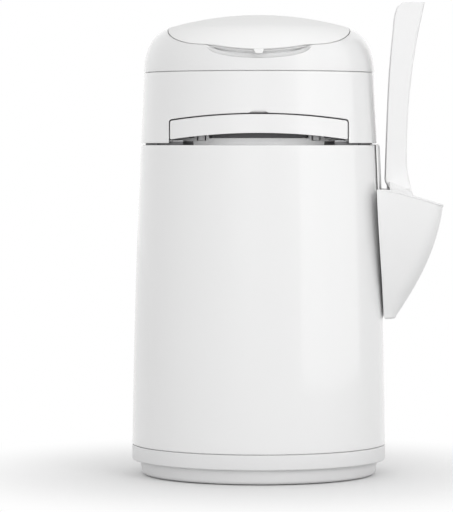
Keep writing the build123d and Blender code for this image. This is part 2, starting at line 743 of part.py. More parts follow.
# ---- sliding handle ----------------------------------------------------------
def pull_handle():
    band = head_form(0) - head_form(HANDLE_THICKNESS, head_bottom - 1, head_top + 1)
    half = opening_half_width - HANDLE_GAP
    top = opening_top - HANDLE_GAP
    low = top - HANDLE_HEIGHT
    upper = ThreePointArc((-half, top - OPENING_ARCH), (0, top), (half, top - OPENING_ARCH))
    lower = ThreePointArc((half, low - OPENING_ARCH), (0, low), (-half, low - OPENING_ARCH))
    sides = Line((half, top - OPENING_ARCH), (half, low - OPENING_ARCH))
    sides += Line((-half, low - OPENING_ARCH), (-half, top - OPENING_ARCH))
    face = make_face(Plane.XZ * (upper + lower + sides))
    face = fillet(face.vertices(), HANDLE_EDGE)
    bar = band & forward(face)
    arms = []
    for side in (-1, 1):
        x0, x1 = side * (arm_middle - ARM_WIDTH / 2), side * (arm_middle + ARM_WIDTH / 2)
        arm = round_block(x0, x1, -beyond, -18, plate_top, plate_top + ARM_HEIGHT) & head_form(1.5)
        pilots = [
            round_post(side * arm_middle, y, plate_top - 1, plate_top + 3.8, pilot_radius)
            for y in handle_screw_y
        ]
        arms.append(arm - pilots)
    return squeezed(bar + arms)


handle_screw_y = (-46.0, -28.0)
arm_middle = plate_half_width - RAIL_GRIP - 0.3 - ARM_WIDTH / 2


def slide_carriage():
    inner_x = head_half_width(plate_bottom) - HANDLE_THICKNESS - FIT
    inner_y = head_half_width(plate_bottom) * PLAN_RATIO - HANDLE_THICKNESS * PLAN_RATIO - FIT
    back = JAW_LINE - PAD_GAP / 2 - JAW_PAD
    plate = oval_prism(inner_x, inner_y, plate_bottom, plate_top)
    plate = plate & block(-plate_half_width, plate_half_width, -beyond, back, 0, head_top)
    jaw = block(
        -jaw_half_width, jaw_half_width, back - JAW_DEPTH, back, plate_bottom - JAW_DROP,
        plate_top + JAW_RISE,
    )
    ribs, lugs, holes = [], [], []
    for side in (-1, 1):
        x0 = side * (rib_inset - RIB_WIDTH / 2)
        x1 = side * (rib_inset + RIB_WIDTH / 2)
        front = -front_wall[1] * sqrt(1 - (rib_inset / front_wall[0]) ** 2)
        ribs.append(block(x0, x1, front, back - 1, frame_floor_top + 0.4, plate_bottom + 0.5))
        lugs.append(
            block(side * (spring_x - 4), side * (spring_x + 4), back - 4, back,
                  plate_top - 0.5, spring_level + 4)
        )
        for y in handle_screw_y:
            holes.append(post(side * arm_middle, y, plate_bottom - 1, plate_top + 1,
                              SCREW_RADIUS + SCREW_CLEARANCE))
    return plate + [jaw] + ribs + lugs - holes


def handle_screws():
    return [screw(side * arm_middle, y, plate_bottom, PLATE_THICKNESS + 3.4)
            for side in (-1, 1) for y in handle_screw_y]


def front_jaw_pad():
    y1 = JAW_LINE - PAD_GAP / 2
    low, high = plate_bottom - JAW_DROP + 1, plate_top + JAW_RISE - 1
    return block(-jaw_half_width + 2, jaw_half_width - 2, y1 - JAW_PAD, y1, low, high)


# ---- release bar -------------------------------------------------------------
bar_outer = (front_wall[0] - FRONT_WALL_THICKNESS - 0.6, front_wall[1] - FRONT_WALL_THICKNESS - 0.6)
bar_low = frame_floor_top + 0.5


def release_bar():
    bar = oval_band(bar_outer, BAR_DEPTH, bar_low, bar_low + BAR_HEIGHT)
    bar = bar & block(-window_half_width + 2, window_half_width - 2, -beyond, -30, 0, head_top)
    shelf_edge = -front_wall[1] + FRONT_WALL_THICKNESS + 1.6
    leg_front = -front_wall[1] + HOOK_BEHIND_WALL
    hook_low = rim + HOOK_LEVEL - HOOK_THICKNESS
    hooks = []
    for side in (-1, 1):
        x0 = side * (hook_x - HOOK_WIDTH / 2)
        x1 = side * (hook_x + HOOK_WIDTH / 2)
        leg = block(x0, x1, leg_front, leg_front + 3, hook_low, bar_low + 2)
        nose_front = shelf_edge + CATCH_CLEARANCE
        nose = block(x0, x1, nose_front, leg_front + 1, hook_low, hook_low + HOOK_THICKNESS)
        hooks += [leg + nose]
    return bar + hooks


def latch_springs():
    back = -bar_outer[1] + BAR_DEPTH
    z = bar_low + BAR_HEIGHT / 2
    return [coil(x, back + 1.4, stop_wall_y - 0.2, z, 2.2, 5) for x in (-12, 12)]


# ---- refill cassette ---------------------------------------------------------
tray_bottom = deck_top + FIT
tray_top = tray_bottom + TRAY_HEIGHT
funnel_level = tray_top + FIT + RING_HEIGHT + FUNNEL_CLEARANCE


def cassette_tray():
    outer = oval_band(tray_half, TRAY_WALL, tray_bottom, tray_top)
    tube_out = (tube_half[0] + TRAY_WALL, tube_half[1] + TRAY_WALL)
    tube = oval_band(tube_out, TRAY_WALL, tray_bottom, tray_top)
    floor_ring = oval_prism(*tray_half, tray_bottom, tray_bottom + TRAY_WALL)
    floor_ring = floor_ring - oval_prism(*tube_half, tray_bottom - 1, tray_top)
    return outer + [tube, floor_ring]


def cassette_ring():
    low = tray_top + FIT
    high = low + RING_HEIGHT
    outer = (tray_half[0] + RING_OVERHANG, tray_half[1] + RING_OVERHANG)
    inner = (tube_half[0] - 3, tube_half[1] - 3)
    top = oval_prism(*outer, high - 2, high) - oval_prism(*inner, low - 1, high + 1)
    skirt = oval_band(outer, 2.0, low - 5, high - 1)
    lip = oval_prism(inner[0] + 1.8, inner[1] + 1.8, low + 1, high - 1)
    lip = lip - oval_prism(*inner, low, high)
    return top + [skirt, lip]


def film_pack():
    outer = (tray_half[0] - TRAY_WALL - FILM_CLEARANCE, tray_half[1] - TRAY_WALL - FILM_CLEARANCE)
    hole = (tube_half[0] + TRAY_WALL + FILM_CLEARANCE, tube_half[1] + TRAY_WALL + FILM_CLEARANCE)
    low = tray_bottom + TRAY_WALL + FIT
    high = tray_top - 4
    return oval_prism(*outer, low, high) - oval_prism(*hole, low - 1, high + 1)


# ---- dome cover and lid ------------------------------------------------------


def dome_arcs():
    """Centres and turns (measured from straight up) of the dome's brow, shoulder and crown arcs."""
    taper = atan((RIM_HALF_WIDTH - HEAD_TOP_HALF_WIDTH) / HEAD_HEIGHT)
    side_turn = pi / 2 - taper
    brow_turn = radians(BROW_TURN)
    side_x = HEAD_TOP_HALF_WIDTH - DOME_SIDE * tan(taper)
    brow = (
        side_x - BROW_RADIUS * sin(side_turn),
        dome_bottom + DOME_SIDE - BROW_RADIUS * cos(side_turn),
    )
    reach = BROW_RADIUS - SHOULDER_RADIUS
    shoulder = (brow[0] + reach * sin(brow_turn), brow[1] + reach * cos(brow_turn))
    crown_turn = asin(shoulder[0] / (CROWN_RADIUS - SHOULDER_RADIUS))
    centre = (0, shoulder[1] - (CROWN_RADIUS - SHOULDER_RADIUS) * cos(crown_turn))
    return brow, shoulder, centre, side_turn, brow_turn, crown_turn


brow_centre, shoulder_centre, crown_centre, side_turn, brow_turn, crown_turn = dome_arcs()
crown = crown_centre[1] + CROWN_RADIUS
lid_hinge_y = LID_BACK + LID_KNUCKLE + 1.2
lid_hinge_z = crown_centre[1] + sqrt(CROWN_RADIUS**2 - (lid_hinge_y / PLAN_RATIO) ** 2) + 0.8


def arc_point(centre, radius, turn):
    return (centre[0] + radius * sin(turn), centre[1] + radius * cos(turn))


def dome_arc(centre, radius, turn0, turn1):
    turns = (turn0, (turn0 + turn1) / 2, turn1)
    return ThreePointArc(*[arc_point(centre, radius, turn) for turn in turns])


def dome_form(inset):
    """Round form under the dome's outside, drawn in by inset."""
    start = arc_point(brow_centre, BROW_RADIUS - inset, side_turn)
    low = (start[0] + (start[1] - dome_bottom) / tan(side_turn), dome_bottom)
    edge = Line(low, start)
    edge += dome_arc(brow_centre, BROW_RADIUS - inset, side_turn, brow_turn)
    edge += dome_arc(shoulder_centre, SHOULDER_RADIUS - inset, brow_turn, crown_turn)
    edge += dome_arc(crown_centre, CROWN_RADIUS - inset, crown_turn, 0)
    edge += Polyline((0, crown - inset), (0, dome_bottom), low)
    return turned(edge)


def lid_outline(grow):
    """Plan of the lid for a round form, grown by grow on all sides."""
    half = lid_half_width + grow
    front = (LID_CENTRE - lid_front + grow) / PLAN_RATIO
    back = (LID_BACK - LID_CENTRE + grow) / PLAN_RATIO
    fore = EllipticalCenterArc((0, 0), half, front, 180, arc_size=180)
    rear = EllipticalCenterArc((0, 0), half, back, 0, arc_size=180)
    return Pos(0, LID_CENTRE / PLAN_RATIO) * make_face(fore + rear)


def lid_region(grow, reach=beyond):
    """Space of the lid for a round form: over its front edge line, and inside its plan behind."""
    points = [((lid_half_width + grow) * share, lid_level + up - grow) for share, up in LID_EDGE]
    mirrored_points = [(-x, z) for x, z in reversed(points)]
    start, end = (tongue_half_width + grow, points[0][1] - 0.2), points[-1]
    low = (0, lid_level - TONGUE_DROP - grow)
    edge = Spline([start] + points)
    edge += Polyline(end, (end[0], crown + 10), (-end[0], crown + 10), (-end[0], end[1]))
    edge += Spline(mirrored_points + [(-start[0], start[1])])
    edge += ThreePointArc((-start[0], start[1]), low, start)
    split = LID_CENTRE / PLAN_RATIO
    front = Pos(0, split, 0) * extrude(make_face(Plane.XZ * edge), reach, dir=(0, -1, 0))
    half = lid_half_width + grow
    back = (LID_BACK - LID_CENTRE + grow) / PLAN_RATIO
    rear_edge = EllipticalCenterArc((0, 0), half, back, 0, arc_size=180) + Line((-half, 0), (half, 0))
    rear = Pos(0, split, dome_bottom) * extrude(make_face(rear_edge), crown + 10 - dome_bottom)
    return front + rear


def lid_prism(grow, low=dome_bottom, high=crown + 10):
    """Upright block of the lid's plan for a round form."""
    return Pos(0, 0, low) * extrude(lid_outline(grow), high - low)


def lid_ring(outer, inner, low=dome_bottom):
    """Upright wall along the lid's plan between two growths."""
    return lid_prism(outer, low) - lid_prism(inner, low - 1, crown + 11)


def recess_block(grow):
    """Finger recess under the lid's front edge, grown by its wall."""
    low, high = recess_level - 2 * RECESS_DROP, recess_level + RECESS_RISE + grow
    tall = block(-beyond, beyond, -beyond, 0, low, high)
    outline = Ellipse(recess_half_width + grow, RECESS_DROP + grow)
    return Pos(0, 0, recess_level) * Rot(90, 0, 0) * extrude(outline, beyond) & tall


def dome_cover():
    outer = dome_form(0)
    under_ledge = dome_form(LEDGE_DROP + HEAD_WALL)
    hole = lid_prism(-LID_LEDGE)
    neck = (lid_region(LID_GAP + HEAD_WALL) & (outer - under_ledge)) - hole
    pocket = recess_block(HEAD_WALL) & (outer - dome_form(RECESS_DEPTH + HEAD_WALL))
    cover = outer - dome_form(HEAD_WALL) + [neck, pocket]
    lid_space = lid_region(LID_GAP) - dome_form(LEDGE_DROP)
    recess = recess_block(0) - dome_form(RECESS_DEPTH)
    cover = squeezed(cover - [lid_space, hole, recess])
    lip_half = HEAD_TOP_HALF_WIDTH - HEAD_WALL - 1.2
    lip_high = dome_bottom + 2
    lip = oval_band((lip_half, lip_half * PLAN_RATIO), 1.8, head_top - 3, lip_high)
    root = oval_band((lip_half + 1.6, lip_half * PLAN_RATIO + 1.4), 3.0, dome_bottom + 0.1, lip_high)
    half = KNUCKLE_HALF + KNUCKLE_GAP
    trough = cross_rod(-half, half, lid_hinge_y, lid_hinge_z, LID_KNUCKLE + KNUCKLE_GAP)
    trough += block(-half, half, LID_BACK - 1, lid_hinge_y, lid_hinge_z - 1.8, lid_hinge_z + 5)
    ears = knuckles(
        lid_hinge_y,
        lid_hinge_z,
        LID_KNUCKLE,
        side_spans(),
        lid_hinge_y - 2.0,
        lid_hinge_z - LID_KNUCKLE - 1.2,
        lid_hinge_z,
    )
    leaf = knuckles(
        cover_hinge_y,
        cover_hinge_z,
        COVER_KNUCKLE,
        [(-KNUCKLE_HALF, KNUCKLE_HALF)],
        (HEAD_TOP_HALF_WIDTH - 1) * PLAN_RATIO,
        dome_bottom + 0.1,
        dome_bottom + 10,
    )
    bore = cross_rod(-2 * half, 2 * half, lid_hinge_y, lid_hinge_z, pin_bore)
    return cover - trough + [lip, root] + ears + leaf - bore


def lid_flap():
    skin = lid_region(0) & (dome_form(0) - dome_form(HEAD_WALL))
    edge = lid_level - TONGUE_DROP + 0.3
    tab_outline = Polyline(
        (-TAB_BASE, edge + 4),
        (TAB_BASE, edge + 4),
        (TAB_BASE, edge),
        (TAB_TIP, edge - TAB_DROP),
        (-TAB_TIP, edge - TAB_DROP),
        (-TAB_BASE, edge),
        (-TAB_BASE, edge + 4),
    )
    tab = forward(make_face(Plane.XZ * tab_outline)) & (dome_form(0.8) - dome_form(0.8 + HEAD_WALL))
    flap = squeezed(skin + tab)
    knuckle = knuckles(
        lid_hinge_y,
        lid_hinge_z,
        LID_KNUCKLE,
        [(-KNUCKLE_HALF, KNUCKLE_HALF)],
        LID_BACK - 4,
        lid_hinge_z - 1.4,
        lid_hinge_z + 1.0,
    )
    return flap + knuckle


def lid_seal():
    band = dome_form(HEAD_WALL) - dome_form(HEAD_WALL + SEAL_THICKNESS)
    keep = round_block(-beyond, beyond, SEAL_FRONT, beyond, dome_bottom, crown)
    return squeezed((lid_ring(-2.5, 2 - LID_LEDGE) & band) & keep)


def drop_funnel():
    """Collar under the lid opening that leads the litter into the cassette's ring."""
    gap = LID_LEDGE + FIT
    under = LEDGE_DROP + HEAD_WALL + 0.2
    collar = lid_ring(-gap, -gap - 2, funnel_level) & dome_form(LEDGE_DROP + 0.4)
    flange = lid_ring(-1.5, -gap - 1, funnel_level) & (dome_form(under) - dome_form(under + 1.8))
    keep = round_block(-beyond, beyond, SEAL_FRONT + 6, beyond, dome_bottom, crown)
    return squeezed(collar + (flange & keep))


# ---- scoop holder ------------------------------------------------------------
def pocket_section(z, grow):
    """Plan of the pocket's outside at level z, grown by grow."""
    up = (z - pocket_bottom) / POCKET_HEIGHT
    ease = 1 - (1 - up) ** POCKET_SWELL
    half = POCKET_FOOT_HALF_WIDTH + (POCKET_HALF_WIDTH - POCKET_FOOT_HALF_WIDTH) * ease
    foot_reach = bucket_half_width(pocket_bottom) + FIT + POCKET_FOOT_DEPTH
    reach = foot_reach + (pocket_back + POCKET_DEPTH - foot_reach) * ease
    back = bucket_half_width(z) + FIT
    side = back - POCKET_WRAP * (half / POCKET_HALF_WIDTH) ** 2
    corner = min(POCKET_CORNER, half * 0.6, (reach - side) * 0.6)
    half, reach, back, side = half + grow, reach + grow, back - grow, side - grow
    bend = corner * (1 - cos(pi / 4))
    outline = ThreePointArc((side, half), (back, 0), (side, -half))
    outline += Line((side, -half), (reach - corner, -half))
    outline += ThreePointArc(
        (reach - corner, -half), (reach - bend, -half + bend), (reach, -half + corner)
    )
    outline += Line((reach, -half + corner), (reach, half - corner))
    outline += ThreePointArc(
        (reach, half - corner), (reach - bend, half - bend), (reach - corner, half)
    )
    outline += Line((reach - corner, half), (side, half))
    return Pos(0, 0, z) * make_face(outline)


def pocket_solid(grow, low):
    """Loft of the pocket's plans from level low to its top."""
    rises = (0, 0.2, 0.45, 0.72, 1)
    return loft([pocket_section(max(pocket_bottom + POCKET_HEIGHT * t, low), grow) for t in rises])


def mouth_cut():
    """Wedge above the pocket's sloping mouth."""
    inner = pocket_back - 12
    bend = (pocket_back + POCKET_DEPTH * 0.26, pocket_top - 1.5)
    outer = pocket_back + POCKET_DEPTH + 5
    low = pocket_top - POCKET_LIP_DROP - 2
    outline = Polyline(
        (inner, pocket_top + 20),
        (inner, pocket_top),
        bend,
        (outer, low),
        (outer, pocket_top + 20),
        (inner, pocket_top + 20),
    )
    return extrude(make_face(Plane.XZ * outline), 70, both=True)


def strap_band(inner_gap, outer_gap, low, high):
    """Piece of wall that follows the bucket's outside between two gaps from it."""
    a0, a1 = bucket_half_width(low), bucket_half_width(high)
    outline = Polyline(
        (a0 + inner_gap, low),
        (a0 + outer_gap, low),
        (a1 + outer_gap, high),
        (a1 + inner_gap, high),
        (a0 + inner_gap, low),
    )
    return turned(outline) & round_block(60, 160, -STRAP_HALF_WIDTH, STRAP_HALF_WIDTH, low, high)


def scoop_holder():
    low = pocket_bottom + POCKET_FLOOR
    pocket = pocket_solid(0, pocket_bottom) - pocket_solid(-POCKET_WALL, low)
    pocket = pocket - mouth_cut()
    top = rim + FIT / 3 + HOOK_OVER
    inside = -WALL - FIT - HOOK_WALL
    strap = strap_band(FIT, FIT + STRAP_THICKNESS, pocket_top - STRAP_OVERLAP, top)
    over = strap_band(inside, FIT + 1, rim + FIT / 3, top)
    inner = strap_band(inside, -WALL - FIT / 2, rim - HOOK_DOWN, top)
    return squeezed(strap + [over, inner]) + pocket


# ---- scoop -------------------------------------------------------------------
def grip_side(inset):
    """Side view of the grip, with its free end drawn in by inset."""
    front = [(grip_foot + x, scoop_mouth + min(up, GRIP_LENGTH - inset)) for x, up in GRIP_FRONT]
    back = [(grip_foot + x, scoop_mouth + min(up, GRIP_LENGTH - inset)) for x, up in GRIP_BACK]
    outline = Spline(back) + Line(back[-1], front[0]) + Spline(front) + Line(front[-1], back[0])
    return make_face(Plane.XZ * outline)


grip_foot = scoop_front - 2.2
blade_top = scoop_mouth - BLADE_SHOULDER
blade_tip = scoop_mouth - BLADE_LENGTH


def blade_section(z, wall, reach):
    """Plan rectangle of the blade at level z, open to the front by reach."""
    up = (z - blade_tip) / (blade_top - blade_tip)
    width = BLADE_TIP_WIDTH + (BLADE_WIDTH - BLADE_TIP_WIDTH) * up**0.7
    depth = BLADE_TIP_DEPTH + (BLADE_DEPTH - BLADE_TIP_DEPTH) * up
    x0, x1 = scoop_front - reach, scoop_front + depth - wall
    return Pos((x0 + x1) / 2, 0, z) * RectangleRounded(x1 - x0, width - 2 * wall, 1.6)


def shoulder_block(wall, shift):
    """Sloping shoulder between the grip's foot and the blade, drawn in by wall."""
    low = Pos(scoop_front + BLADE_DEPTH / 2 - shift, 0, blade_top - wall)
    high = Pos(grip_foot + GRIP_BACK[0][0] / 2 - shift, 0, scoop_mouth + wall * 0.2)
    low_face = low * Rectangle(BLADE_DEPTH, BLADE_WIDTH - 2 * wall)
    return loft([low_face, high * Rectangle(GRIP_BACK[0][0], GRIP_WIDTH - 2 * wall)])


def scoop():
    grip = extrude(grip_side(0), GRIP_WIDTH / 2, both=True)
    channel = extrude(grip_side(SCOOP_WALL), GRIP_WIDTH / 2 - SCOOP_WALL, both=True)
    levels = [blade_tip + (blade_top - blade_tip) * t for t in (0, 0.3, 0.65, 1)]
    blade = loft([blade_section(z, 0, 0) for z in levels])
    levels[0] += SCOOP_WALL
    levels[-1] -= SCOOP_WALL
    cavity = loft([blade_section(z, SCOOP_WALL, 3) for z in levels])
    slots = []
    slot_top = blade_top - SLOT_TOP_MARGIN
    for i in range(SLOT_COUNT):
        y = (i - (SLOT_COUNT - 1) / 2) * 2 * SLOT_WIDTH
        reach = SLOT_LENGTH - SLOT_FALL * (y / SLOT_WIDTH) ** 2
        slots.append(
            block(
                scoop_front + 1,
                scoop_front + BLADE_DEPTH + 5,
                y - SLOT_WIDTH / 2,
                y + SLOT_WIDTH / 2,
                slot_top - reach,
                slot_top,
            )
        )
    body = grip + [blade, shoulder_block(0, 0)]
    return body - [Pos(-SCOOP_WALL, 0, 0) * channel, cavity, shoulder_block(SCOOP_WALL, 3)] - slots


nodes = {
    "bucket_shell": bucket_shell(),
    "base_pan": base_pan(),
    "foot_ring": foot_band(0),
    "base_screws": base_screws(),
    "latch_catch": latch_catch(),
    "catch_screws": catch_screws(),
    "cutter_housing": cutter_housing(),
    "cutter_blade": cutter_blade(),
    "head_hinge_pin": hinge_pin(head_hinge_y, head_hinge_z),
    "scoop_holder": scoop_holder(),
    "head_shell": head_shell(),
    "jaw_frame": jaw_frame(),
    "frame_screws": frame_screws(),
    "rear_jaw": rear_jaw(),
    "rear_jaw_pad": rear_jaw_pad(),
    "chute_deck": chute_deck(),
    "deck_screws": deck_screws(),
    "return_springs": return_springs(),
    "latch_springs": latch_springs(),
    "cover_hinge_pin": hinge_pin(cover_hinge_y, cover_hinge_z),
    "cassette_tray": cassette_tray(),
    "cassette_ring": cassette_ring(),
    "film_pack": film_pack(),
    "pull_handle": pull_handle(),
    "slide_carriage": slide_carriage(),
    "handle_screws": handle_screws(),
    "front_jaw_pad": front_jaw_pad(),
    "release_bar": release_bar(),
    "dome_cover": dome_cover(),
    "drop_funnel": drop_funnel(),
    "lid_hinge_pin": hinge_pin(lid_hinge_y, lid_hinge_z),
    "lid_flap": lid_flap(),
    "lid_seal": lid_seal(),
    "scoop": scoop(),
}

os.makedirs("parts", exist_ok=True)
for name, solid in nodes.items():
    shape = Compound(children=solid) if isinstance(solid, list) else solid
    export_step(shape, f"parts/{name}.step")
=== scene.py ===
"""Litter disposal pail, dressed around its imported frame.

Lengths are in metres. +Z is up, -Y is the front and the origin is on the floor
under the middle of the bucket. Every level section of the pail is an oval: a round
plan squeezed front to back by plan_ratio. "Half-width" is the oval's half-width.
"""

import json
import math

import bmesh
import bpy
from bpy.props import FloatProperty, FloatVectorProperty, IntProperty, PointerProperty
from bpy.types import Operator, Panel, PropertyGroup
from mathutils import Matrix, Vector


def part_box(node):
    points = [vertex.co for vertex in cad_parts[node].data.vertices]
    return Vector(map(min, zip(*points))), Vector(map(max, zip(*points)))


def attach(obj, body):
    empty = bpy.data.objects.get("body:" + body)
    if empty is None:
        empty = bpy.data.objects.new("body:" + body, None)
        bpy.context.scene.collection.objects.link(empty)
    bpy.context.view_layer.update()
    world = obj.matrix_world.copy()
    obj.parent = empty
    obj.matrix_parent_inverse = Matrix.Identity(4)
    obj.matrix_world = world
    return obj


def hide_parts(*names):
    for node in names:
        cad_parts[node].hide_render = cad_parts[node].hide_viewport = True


bl_info = {
    "name": "Litter Pail Dressing",
    "version": (1, 0, 0),
    "blender": (4, 5, 0),
    "location": "3D View > Sidebar > Litter Pail",
    "description": "Builds the visible pieces, finishes and stage of a litter disposal pail",
    "category": "Object",
}

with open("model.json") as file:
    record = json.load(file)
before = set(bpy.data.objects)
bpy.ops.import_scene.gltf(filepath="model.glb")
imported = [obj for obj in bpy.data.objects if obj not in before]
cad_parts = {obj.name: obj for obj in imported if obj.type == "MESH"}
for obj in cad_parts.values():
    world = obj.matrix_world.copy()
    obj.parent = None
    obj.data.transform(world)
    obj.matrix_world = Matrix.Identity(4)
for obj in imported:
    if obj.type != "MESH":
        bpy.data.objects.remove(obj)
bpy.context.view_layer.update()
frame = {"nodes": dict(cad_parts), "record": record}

MM = 0.001
PI = math.pi
SMOOTH_ANGLE = 32.0  # degrees; edges that turn by more stay sharp
NOISE_SPAN = (0.35, 0.65)  # where most of a noise texture's values lie
KNUCKLE_HALF = 13.0 * MM  # half-width of a hinge's middle knuckle
KNUCKLE_GAP = 0.5 * MM
KNUCKLE_SIDE = 11.0 * MM  # width of each knuckle beside it
LID_HINGE = (48.0 * MM, 432.0 * MM)  # y and z of the lid's axis
LID_KNUCKLE = 2.8 * MM  # radius
BASE_SCREWS = [(x * 62.49 * MM, y * 56.24 * MM) for y in (-1, 1) for x in (-1, 1)]
HEAD_SCREWS = [
    (side * x * MM, y * MM)
    for x, y in ((97.1, 37.8), (45.9, 85.8), (92.5, -46.2))
    for side in (-1, 1)
]
BOSS_RADIUS = 4.5 * MM
SCREW_BORE = 1.5 * MM
HOLDER_GAP = 0.3 * MM  # between the bucket's wall and the holder's back
FOOT_RINGS = 6  # mesh rings round the pocket's foot
WALL_RINGS = 34  # mesh rows up the pocket's wall


def length(label, default_mm, description, low=0.0, high=1000.0):
    """A length property whose default is written in millimetres."""
    return FloatProperty(
        name=label,
        description=description,
        default=default_mm * MM,
        min=low * MM,
        max=high * MM,
        subtype="DISTANCE",
        unit="LENGTH",
        precision=4,
    )


def colour(label, default, description):
    """A linear colour property."""
    return FloatVectorProperty(
        name=label,
        description=description,
        default=default,
        size=3,
        min=0.0,
        max=1.0,
        subtype="COLOR",
    )


# ---- sizes and colours a user would change ------------------------------------------


class PailBodySizes(PropertyGroup):
    """Sizes of the base and the bucket"""

    plan_ratio: FloatProperty(
        name="Plan ratio",
        description="Depth of the oval plan as a share of its width",
        default=0.9,
        min=0.6,
        max=1.0,
    )
    wall: length("Bucket wall", 2.6, "Thickness of the bucket's wall")
    foot_half_width: length("Foot half-width", 113.0, "Half-width of the foot under the skirt")
    foot_bottom: length("Foot underside", 0.8, "Height of the foot over the floor")
    foot_height: length("Foot height", 14.7, "Height at which the skirt starts")
    skirt_half_width: length("Skirt half-width", 120.5, "Half-width of the skirt, the widest oval")
    skirt_top: length("Skirt top", 28.9, "Height of the skirt's upper edge")
    bucket_bottom: length("Bucket lower edge", 29.5, "Height of the bucket's lower edge")
    bucket_floor: length("Bucket floor", 31.0, "Height of the underside of the bucket's floor")
    rim: length("Rim height", 313.0, "Height of the bucket's rim")
    rim_half_width: length("Rim half-width", 112.2, "Half-width of the bucket at its rim")
    bulge: length("Side bulge", 1.1, "How far the bucket's side stands out half-way up")
    edge: length("Moulded edge", 0.7, "Radius of the shells' moulded edges")


class PailHeadSizes(PropertyGroup):
    """Sizes of the head and the pull handle"""

    low: length("Head lower edge", 314.8, "Height of the head's lower edge")
    top: length("Head upper edge", 381.0, "Height of the head's upper edge")
    top_half_width: length("Head top half-width", 109.2, "Half-width of the head at its upper edge")
    wall: length("Head wall", 2.4, "Thickness of the head's wall")
    opening_half: length("Opening half-width", 83.3, "Half-width of the handle opening")
    opening_top: length("Opening top", 342.5, "Height of the opening's arch in the middle")
    opening_arch: length("Opening arch", 6.0, "How far the arch falls to its sides")
    opening_corner: length("Opening corner", 2.5, "Radius of the opening's upper corners")
    notch_rise: length("Notch rise", 1.6, "Height of the finger notch over the arch")
    notch_base: length("Notch base", 8.9, "Half-width of the notch at the arch")
    notch_top: length("Notch top", 5.8, "Half-width of the notch at its top")
    handle_gap: length("Handle gap", 1.1, "Gap between the pull handle and the opening")
    handle_height: length("Handle height", 17.2, "Height of the pull handle's bar")
    handle_depth: length("Handle depth", 8.0, "Thickness of the pull handle's bar")
    arm_middle: length("Arm spread", 73.25, "Distance of the handle's arms from the middle")


class PailDomeSizes(PropertyGroup):
    """Sizes of the dome cover, the lid and the finger recess"""

    low: length("Dome lower edge", 381.6, "Height of the dome cover's lower edge")
    side: length("Dome side", 3.7, "Height of the straight side under the brow")
    brow_radius: length("Brow radius", 64.0, "Radius of the dome's brow arc")
    brow_turn: FloatProperty(
        name="Brow turn",
        description="Angle from straight up at which the brow meets the shoulder",
        default=math.radians(70.0),
        subtype="ANGLE",
    )
    shoulder_radius: length("Shoulder radius", 32.0, "Radius of the dome's shoulder arc")
    crown_radius: length("Crown radius", 305.0, "Radius of the dome's crown")
    lid_half: length("Lid half-width", 85.1, "Half-width of the lid")
    lid_centre: length("Lid centre", -32.0, "Where the lid is widest, front to back", -200.0)
    lid_back: length("Lid back", 44.0, "Back edge of the lid")
    lid_gap: length("Lid gap", 0.6, "Gap between the lid and the dome")
    lid_level: length("Lid edge level", 405.1, "Height of the lid's front edge beside the recess")
    tongue_half: length("Tongue half-width", 42.0, "Half-width of the tongue at the lid's front")
    tongue_drop: length("Tongue drop", 3.9, "How far the tongue hangs under the edge level")
    recess_half: length("Recess half-width", 47.5, "Half-width of the finger recess")
    recess_drop: length("Recess drop", 11.4, "How far the finger recess reaches down")
    recess_level: length("Recess level", 404.0, "Height of the finger recess's tips")
    recess_depth: length("Recess depth", 12.0, "Depth of the finger recess")
    ledge: length("Lid ledge", 9.0, "Width of the ledge the lid closes on")
    ledge_drop: length("Ledge drop", 4.0, "Depth of that ledge under the dome's surface")


class PailSideSizes(PropertyGroup):
    """Sizes of the scoop and its holder"""

    strap_half: length("Strap half-width", 24.0, "Half-width of the holder's strap")
    strap_wall: length("Strap thickness", 2.2, "Thickness of the holder's strap")
    pocket_top: length("Pocket top", 271.4, "Height of the pocket's mouth beside the pail")
    pocket_height: length("Pocket height", 122.9, "Height of the scoop's pocket")
    pocket_half: length("Pocket half-width", 50.0, "Half-width of the pocket at its mouth")
    pocket_depth: length("Pocket depth", 59.9, "How far the pocket stands out from the pail")
    pocket_swell: FloatProperty(
        name="Pocket swell",
        description="How full the pocket's outer side is: 1 is straight",
        default=1.9,
        min=1.0,
        max=4.0,
    )
    pocket_foot_half: length("Pocket foot half-width", 17.0, "Half-width of the pocket's foot")
    pocket_foot_depth: length("Pocket foot depth", 10.5, "How far the pocket's foot stands out")
    pocket_corner: length("Pocket corner", 16.0, "Radius of the pocket's upright corners")
    pocket_wrap: length("Pocket wrap", 4.9, "How far the pocket's sides reach back around the pail")
    lip_drop: length("Mouth slope", 15.5, "How far the mouth falls to its outer edge")
    wall: length("Side wall", 2.0, "Wall of the pocket and of the scoop")
    grip_half: length("Grip half-width", 15.0, "Half-width of the scoop's grip")
    grip_length: length("Grip length", 175.7, "Length of the grip over the pocket's mouth")
    blade_half: length("Blade half-width", 43.0, "Half-width of the scoop's blade at its shoulder")
    blade_tip_half: length("Blade tip half-width", 20.0, "Half-width of the blade's tip")
    blade_length: length("Blade length", 109.0, "Length of the blade inside the pocket")


